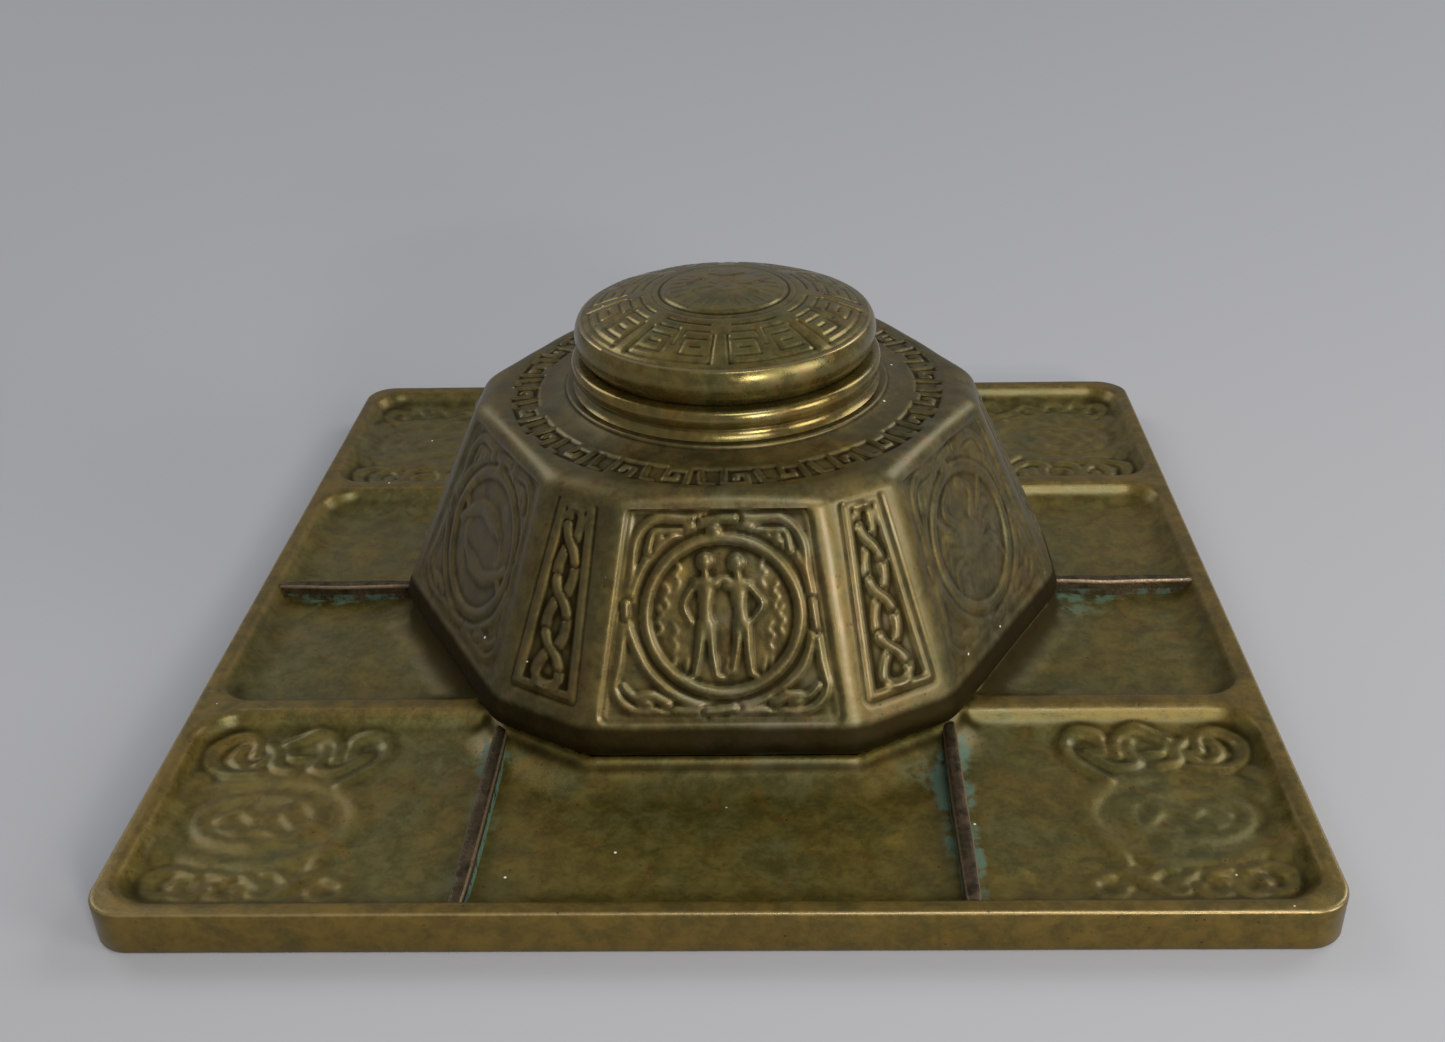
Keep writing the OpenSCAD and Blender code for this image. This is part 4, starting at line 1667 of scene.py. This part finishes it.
        # Painted shade: the foot, the tuck and the lowest rows of the faces, under the overhang,
        # are darkened, fading out a little way up the faces.
        shade = np.full(len(rows), 1.0)
        shade[:low + 5] = -0.40
        shade[low + 5:low + 16] = np.linspace(-0.36, 0.12, 11)
        s.mark("rub_and_shade", index, np.minimum(rub_and_shade + seam, shade[:, None]))
        damp = np.zeros(grid.shape[:2])
        damp[parts["foot"]] = 0.5
        damp[parts["cove"]] = 0.22
        s.mark("damp", index, damp)
        settle(s.build("well_casting"), "well", "well_bronze", finish, "well_housing")


@dataclass
class NeckRing:
    """Turned collar around the well's mouth, cut flat where the hinge sits."""

    low: np.ndarray
    high: np.ndarray
    bore: float = 31.5
    bulge: float = 1.7
    torus_half: float = 2.35
    seat_y: float = 35.85
    hinge_half: float = 9.0

    def build(self, finish: bpy.types.Material) -> None:
        """Builds the collar.

        Args:
            finish: Its bronze.
        """
        radius, bottom, top = self.high[0], self.low[2], self.high[2]
        half = self.torus_half
        t = np.linspace(-math.pi / 2, math.pi / 2, 22)
        torus = np.column_stack([radius - self.bulge + self.bulge * np.cos(t) ** 0.8,
                                 top - half + half * np.sin(t)])
        flare_top = top - 2 * half - 0.15
        rise = np.linspace(0, 1, 9)
        spread = (self.bulge - 0.35) * (1 - rise) ** 2.2
        flare = np.column_stack([radius - self.bulge + 0.1 + spread,
                                 bottom + (flare_top - bottom) * rise])
        outer = np.vstack([flare, torus])
        n_flare = len(flare)
        edge = outer[-1, 0]
        rest = sample([(edge - 0.25, top), (edge - 0.9, top - 0.12), (self.bore + 1.0, top - 0.12),
                       (self.bore + 0.3, top - 0.05), (self.bore, top - 0.35), (self.bore, bottom),
                       (edge - 0.2, bottom)], [1, 4, 1, 1, 4, 4])
        grid = turned(np.vstack([outer, rest]), 420)
        cut = np.abs(grid[..., 0]) < self.hinge_half + 0.1
        grid[..., 1] = np.where(cut, np.minimum(grid[..., 1], self.seat_y + 0.2), grid[..., 1])
        s = Surface()
        index = s.grid(grid, True, True)
        # Painted light on the collar: painted shade towards the top and bottom of the bulge and in
        # the groove below it, a painted highlight band just above the bulge's middle, and the foot
        # of the flare a touch lighter.
        rub_and_shade = np.zeros(grid.shape[:2])
        rub_and_shade[n_flare:n_flare + len(t)] = (0.09 * np.exp(-((t - 0.2) / 0.45) ** 2) - 0.10 * np.abs(
            np.sin(t)) ** 6)[:, None]
        rub_and_shade[n_flare - 3:n_flare + 2] = -0.12
        rub_and_shade[0:3] = 0.05
        s.mark("rub_and_shade", index, rub_and_shade)
        settle(s.build("neck_collar"), "well", "collar_bronze", finish, "neck_ring")


# ---- Lid ----


@dataclass
class Lid:
    """Domed lid with a fret around a plain medallion."""

    low: np.ndarray
    high: np.ndarray
    foot_z: float = 77.36
    rim_r: float = 6.5
    rim_height: float = 9.0
    dome_rise: float = 7.5
    wall: float = 2.2
    spigot: float = 31.0
    medallion: float = 15.85
    groove_half: float = 0.52
    groove_depth: float = 0.34
    ticks: int = 26
    cols: int = 560

    def __post_init__(self) -> None:
        """Works out the sizes that follow from the box."""
        self.radius = self.high[0]
        self.top = self.high[2]
        self.crease_z = self.foot_z + self.rim_height
        self.equator = self.foot_z + self.rim_height * 0.58
        self.rim_x = self.radius - self.rim_r
        above = self.crease_z - self.equator
        self.crease_r = self.rim_x + math.sqrt(self.rim_r ** 2 - above ** 2)
        self.dome_r = (self.crease_r ** 2 + self.dome_rise ** 2) / (2 * self.dome_rise)

    def dome_z(self, r: np.ndarray) -> np.ndarray:
        """Height of the dome at a radius."""
        return self.top - self.dome_r + np.sqrt(self.dome_r ** 2 - r ** 2)

    def work(self, x: np.ndarray, y: np.ndarray) -> np.ndarray:
        """Fret and medallion on the dome.

        Args:
            x: Places on the lid.
            y: Places on the lid.

        Returns:
            Heights, none above the plain dome by more than a little.
        """
        r = Relief(x, y)
        radius = np.hypot(x, y)
        inner, outer = 17.6, 33.4

        def ring_line(rho: float, start: float, end: float) -> Points:
            """Arc about the lid's middle."""
            n = max(2, int(abs(end - start) / 3))
            return arc(0, 0, rho, start, end, n)

        r.height -= 0.42 * np.exp(-((radius - self.medallion) / 0.62) ** 2)
        r.height += 0.16 * np.exp(-((radius - self.medallion + 1.5) / 0.8) ** 2)
        r.height -= 0.30 * np.exp(-((radius - inner) / 0.42) ** 2)
        rows = (20.2, 22.9, 25.6, 28.3, 31.0, 33.2)
        bar = 3.4
        for k in range(8):
            mid = -90 + 45 * k
            a, b = mid + bar + 1.6, mid + 45 - bar - 1.6
            third = (b - a) / 3
            paths = [
                ring_line(rows[5], a, b),
                (ring_line(rows[4], a + 1.5, a + third * 1.15)
                 + ring_line(rows[2], a + third * 1.15, a + 1.5)),
                (ring_line(rows[4], b - 1.5, b - third * 1.15)
                 + ring_line(rows[2], b - third * 1.15, b - 1.5)),
                ring_line(rows[3], a + 4, a + third * 0.8),
                ring_line(rows[3], b - 4, b - third * 0.8),
                (ring_line(rows[1], a + 1, a + third * 1.3)
                 + ring_line(rows[3], a + third * 1.4, b - third * 1.4)
                 + ring_line(rows[1], b - third * 1.3, b - 1)),
                ring_line(rows[0], a + 2, b - 2),
            ]
            for path in paths:
                r.stroke(path, self.groove_half, -self.groove_depth, power=0.55)
            for side in (-1, 1):
                t0 = math.radians(mid + side * (bar + 0.4))
                r.stroke([(24.0 * math.cos(t0), 24.0 * math.sin(t0)),
                          (33.4 * math.cos(t0), 33.4 * math.sin(t0))], 0.60, -0.40, power=0.55)
        for path in ([(-9, 1.5), (-5.5, 4.8), (-2.2, 1.2), (1.0, 4.4), (4.6, 0.6), (9, 3.4)],
                     [(-7.5, -3.2), (-3.4, -0.8), (0.6, -3.6), (5.0, -1.4), (8.2, -4.0)],
                     [(-4, 8.4), (0, 6.6), (4.4, 8.6)]):
            r.stroke(curve(path), 0.95, 0.34, power=0.7)
        for i in range(self.ticks):
            t0 = 2 * math.pi * i / self.ticks
            r.stroke([(10.4 * math.cos(t0), 10.4 * math.sin(t0)),
                      (12.8 * math.cos(t0), 12.8 * math.sin(t0))], 0.5, 0.14)
        r.height -= 0.20 * step(radius, 33.6, 34.6) * (1 - step(radius, 34.9, 35.4))
        r.height = np.where(radius < outer + 3, r.height, 0)
        return r.height

    def build(self, finish: bpy.types.Material) -> None:
        """Builds the lid.

        Args:
            finish: Its bronze.
        """
        dome_to = self.crease_r - 0.35
        r_dome = np.linspace(0.25, dome_to, 86)
        dome = np.column_stack([r_dome, self.dome_z(r_dome)])
        high = math.asin((self.crease_z - self.equator) / self.rim_r)
        low = -math.asin((self.equator - self.foot_z) / self.rim_r)
        t = np.linspace(high - 0.02, low, 34)
        rim = np.column_stack([self.rim_x + self.rim_r * np.cos(t),
                               self.equator + self.rim_r * np.sin(t)])
        foot_r = rim[-1, 0]
        under = sample([(foot_r - 0.5, self.foot_z), (self.spigot + 0.2, self.foot_z),
                        (self.spigot, self.foot_z - 0.2), (self.spigot, self.low[2] + 0.3),
                        (self.spigot - 0.3, self.low[2]), (self.spigot - self.wall, self.low[2]),
                        (self.spigot - self.wall, self.crease_z - 1.2)], [3, 1, 3, 1, 2, 4])
        r_in = np.linspace(self.spigot - self.wall, 0.25, 22)
        inner = np.column_stack([r_in, self.dome_z(r_in) - self.wall])
        profile = np.vstack([dome, rim, under, inner])
        grid = turned(profile, self.cols)
        outward = normals(grid, False, True)
        outward[:len(dome)] *= np.sign(outward[:len(dome), :, 2:3])
        work = np.zeros(grid.shape[:2])
        n = len(dome)
        work[:n] = self.work(grid[:n, :, 0], grid[:n, :, 1])
        work[:n] = blur(blur(work[:n], 0.55, 0), 0.9, 1, True)
        work[:n] += 0.025 * waver((n, self.cols), 7, 12, True)
        work[:4] = work[:4].mean()
        grid[:n] += outward[:n] * (work[:n] - 0.06)[..., None]
        grid[..., 2] = np.minimum(grid[..., 2], self.top)
        s = Surface()
        index = s.grid(grid, wrap_cols=True)
        s.fan(index[0], grid[0].mean(0))
        s.fan(index[-1], grid[-1].mean(0))
        rub_and_shade = np.zeros(grid.shape[:2])
        rub_and_shade[:n] = rub_of(grid[:n], outward[:n], 2.0, False, True) + 0.10 * np.minimum(work[:n], 0)
        # The crease between dome and rim is rubbed bright; below the rim's middle a painted
        # highlight band, and painted shade on the rim's underside.
        rub_and_shade[n - 3:n + 2] += np.array([0.03, 0.12, 0.34, 0.26, 0.05])[:, None]
        rub_and_shade[n + 14:n + 20] += 0.03
        rub_and_shade[n + 27:n + 34] -= 0.05
        s.mark("rub_and_shade", index, rub_and_shade)
        settle(s.build("lid_casting"), "lid", "lid_bronze", finish, "lid")


@dataclass
class InkPot:
    """Glass pot that hangs by its flange in the well's mouth."""

    low: np.ndarray
    high: np.ndarray
    body_r: float = 26.0
    wall: float = 2.5
    flange: float = 2.2

    def build(self, finish: bpy.types.Material) -> None:
        """Builds the pot.

        Args:
            finish: Its glass.
        """
        bottom, top, rim = self.low[2], self.high[2], self.high[0]
        under, inner = top - self.flange, self.body_r - self.wall
        round_r = 2 * self.wall
        outer = np.array([(0.3, bottom + 0.5), (self.body_r * 0.4, bottom + 0.35),
                          (self.body_r - round_r - 1, bottom)])
        turn = np.array(arc(self.body_r - round_r, bottom + round_r, round_r, -84, 0, 8))
        flange = np.array([(self.body_r, under - 1.2), (self.body_r + 0.4, under),
                           (rim - 0.5, under), (rim, under + 0.5), (rim, top - 0.5),
                           (rim - 0.5, top), (inner + 0.8, top), (inner, top - 0.8)])
        inside = np.array(arc(inner - self.wall, bottom + 2 * self.wall, self.wall, 0, -90, 6))
        profile = np.vstack([outer, turn, flange, inside, [(0.3, bottom + self.wall)]])
        grid = turned(profile, 96)
        s = Surface()
        index = s.grid(grid, wrap_cols=True)
        s.fan(index[0], grid[0].mean(0))
        s.fan(index[-1], grid[-1].mean(0))
        wet = np.zeros(grid.shape[:2])
        wet[-8:] = np.linspace(0.35, 0.75, 8)[:, None]
        s.mark("lie", index, wet)
        settle(s.build("glass_pot"), "ink_pot", "pot_glass", finish, "ink_pot")


@dataclass
class Fittings:
    """Hinge, base plate and screws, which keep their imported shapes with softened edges."""

    edge: float = 0.25

    def dress(self, node: str, finish: bpy.types.Material) -> None:
        """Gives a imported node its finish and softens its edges.

        Args:
            node: Name of the node.
            finish: Its material.
        """
        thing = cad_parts[node]
        thing.data.materials.clear()
        thing.data.materials.append(finish)
        soft = thing.modifiers.new("soft_edges", "BEVEL")
        soft.width = self.edge * MM
        soft.segments = 2
        soft.limit_method = "ANGLE"
        soft.angle_limit = math.radians(40)
        log.info("%s: kept, with softened edges", node)

    def build(self, hinge: bpy.types.Material, base: bpy.types.Material,
              brass: bpy.types.Material) -> None:
        """Dresses all of them.

        Args:
            hinge: Bronze of the leaves.
            base: Bronze of the plate.
            brass: Brass of the pin and the screws.
        """
        self.dress("hinge_leaf_well", hinge)
        self.dress("hinge_leaf_lid", hinge)
        self.dress("hinge_pin", brass)
        self.dress("base_plate", base)
        self.dress("base_screws", brass)


# ---- Studio ----


@dataclass
class Studio:
    """Paper floor, soft lamps and the camera."""

    floor_half: float = 4000.0
    world: Colour = (0.37, 0.37, 0.375)
    world_strength: float = 0.84
    place: tuple[float, float, float] = (17.49, -356.09, 226.97)
    yaw: float = -0.0207
    pitch: float = 0.5172
    roll: float = -0.0185
    lens: float = 38.76
    shift: tuple[float, float] = (-0.0332, 0.0084)

    def floor(self, finish: bpy.types.Material) -> None:
        """Lays the floor.

        Args:
            finish: Its paper.
        """
        n = 24
        side = np.linspace(-1, 1, n) ** 3 * self.floor_half
        x, y = np.meshgrid(side, side)
        far = np.clip(y - 1500, 0, None)
        s = Surface()
        s.grid(np.stack([x, y, -0.02 + far * far / 9000], -1))
        thing = s.build("studio_floor")
        thing.data.materials.append(finish)
        if thing.data.polygons[0].normal.z < 0:
            thing.data.flip_normals()

    def lamp(self, name: str, at: tuple[float, float, float], size: tuple[float, float],
             watts: float, colour: Colour, aim: tuple[float, float, float] = (0, 0, 50)) -> None:
        """Hangs one soft lamp.

        Args:
            name: Its name.
            at: Its place.
            size: Width and height of its face.
            watts: Its power.
            colour: Its colour.
            aim: What it points at.
        """
        data = bpy.data.lights.new(name, "AREA")
        data.shape = "RECTANGLE"
        data.size, data.size_y = size[0] * MM, size[1] * MM
        data.energy = watts
        data.color = colour
        lamp = bpy.data.objects.new(name, data)
        lamp.location = Vector(at) * MM
        lamp.rotation_euler = (Vector(aim) - Vector(at)).to_track_quat("-Z", "Y").to_euler()
        bpy.context.scene.collection.objects.link(lamp)

    def lamps(self) -> None:
        """Sets the light of the room."""
        world = bpy.data.worlds.new("room")
        bpy.context.scene.world = world
        world.use_nodes = True
        back = world.node_tree.nodes["Background"]
        back.inputs[0].default_value = (*self.world, 1)
        back.inputs[1].default_value = self.world_strength
        self.lamp("front_box", (300, -900, 1250), (620, 360), 7.6, (0.93, 0.97, 1.0))
        self.lamp("strip_high", (350, -820, 335), (150, 20), 1.8, (1.0, 0.93, 0.86))
        self.lamp("strip_low", (350, -820, 270), (150, 20), 1.8, (1.0, 0.93, 0.86))
        self.lamp("right_fill", (1000, -520, 420), (420, 420), 4.6, (1.0, 0.98, 0.95))
        self.lamp("left_back", (-1300, 950, 1250), (900, 900), 7.5, (1.0, 1.0, 1.0), (0, 700, 0))
        self.lamp("right_back", (1400, 950, 1250), (900, 900), 11, (1.0, 1.0, 1.0), (100, 700, 0))

    def camera(self) -> None:
        """Sets up the camera."""
        cp, sp = math.cos(self.pitch), math.sin(self.pitch)
        ahead = Vector((math.sin(self.yaw) * cp, math.cos(self.yaw) * cp, -sp))
        right = Vector((math.cos(self.yaw), -math.sin(self.yaw), 0))
        up = right.cross(ahead)
        c, s = math.cos(self.roll), math.sin(self.roll)
        x_axis, y_axis = c * right + s * up, -s * right + c * up
        data = bpy.data.cameras.new("camera")
        data.lens = self.lens
        data.sensor_width = 36
        data.shift_x, data.shift_y = self.shift
        data.clip_start, data.clip_end = 0.01, 50
        cam = bpy.data.objects.new("camera", data)
        cam.matrix_world = Matrix.Translation(Vector(self.place) * MM) @ Matrix(
            (x_axis, y_axis, -ahead)).transposed().to_4x4()
        bpy.context.scene.collection.objects.link(cam)
        bpy.context.scene.camera = cam

    def build(self, finish: bpy.types.Material) -> None:
        """Builds the studio.

        Args:
            finish: The floor's paper.
        """
        self.floor(finish)
        self.lamps()
        self.camera()
        bpy.context.scene.view_settings.view_transform = "Standard"
        log.info("studio ready")


def main() -> None:
    """Builds every piece in turn."""
    tray = Bronze("tray_patina", metal=0.62, body=(0.128, 0.094, 0.015),
                  olive=(0.102, 0.089, 0.018), warm=(0.140, 0.088, 0.012), coat=0.18,
                  bloom=(0.115, 0.095, 0.050))
    well = Bronze("well_patina", cloud=21.0, body=(0.108, 0.080, 0.022),
                  olive=(0.088, 0.077, 0.025), warm=(0.122, 0.078, 0.021),
                  worn=(0.250, 0.190, 0.118), rub_start=0.16, rub_full=0.60,
                  low_rough=0.35, high_rough=0.52, bloom=(0.140, 0.100, 0.076))
    collar = Bronze("collar_patina", body=(0.180, 0.128, 0.030), olive=(0.142, 0.116, 0.030),
                    warm=(0.200, 0.110, 0.020), low_rough=0.15, high_rough=0.30, cloud=18.0,
                    pit_depth=0.015, swell=0.03)
    lid = Bronze("lid_patina", body=(0.162, 0.122, 0.030), olive=(0.130, 0.114, 0.032),
                 low_rough=0.19, high_rough=0.40, cloud=18.0, pit_depth=0.02, swell=0.03)
    hinge = Bronze("hinge_patina", cloud=9.0)
    base = Bronze("base_patina", cloud=30.0, high_rough=0.6)
    brass = Brass().build()
    Tray(*span("tray")).build(tray.build())
    Dividers().build(CopperStrip().build())
    Well(*span("well_housing")).build(well.build())
    NeckRing(*span("neck_ring")).build(collar.build())
    Lid(*span("lid")).build(lid.build())
    InkPot(*span("ink_pot")).build(PotGlass().build())
    Fittings().build(hinge.build(), base.build(), brass)
    Studio().build(FloorPaper().build())
    log.info("boxes written")


if __name__ == "__main__":
    main()
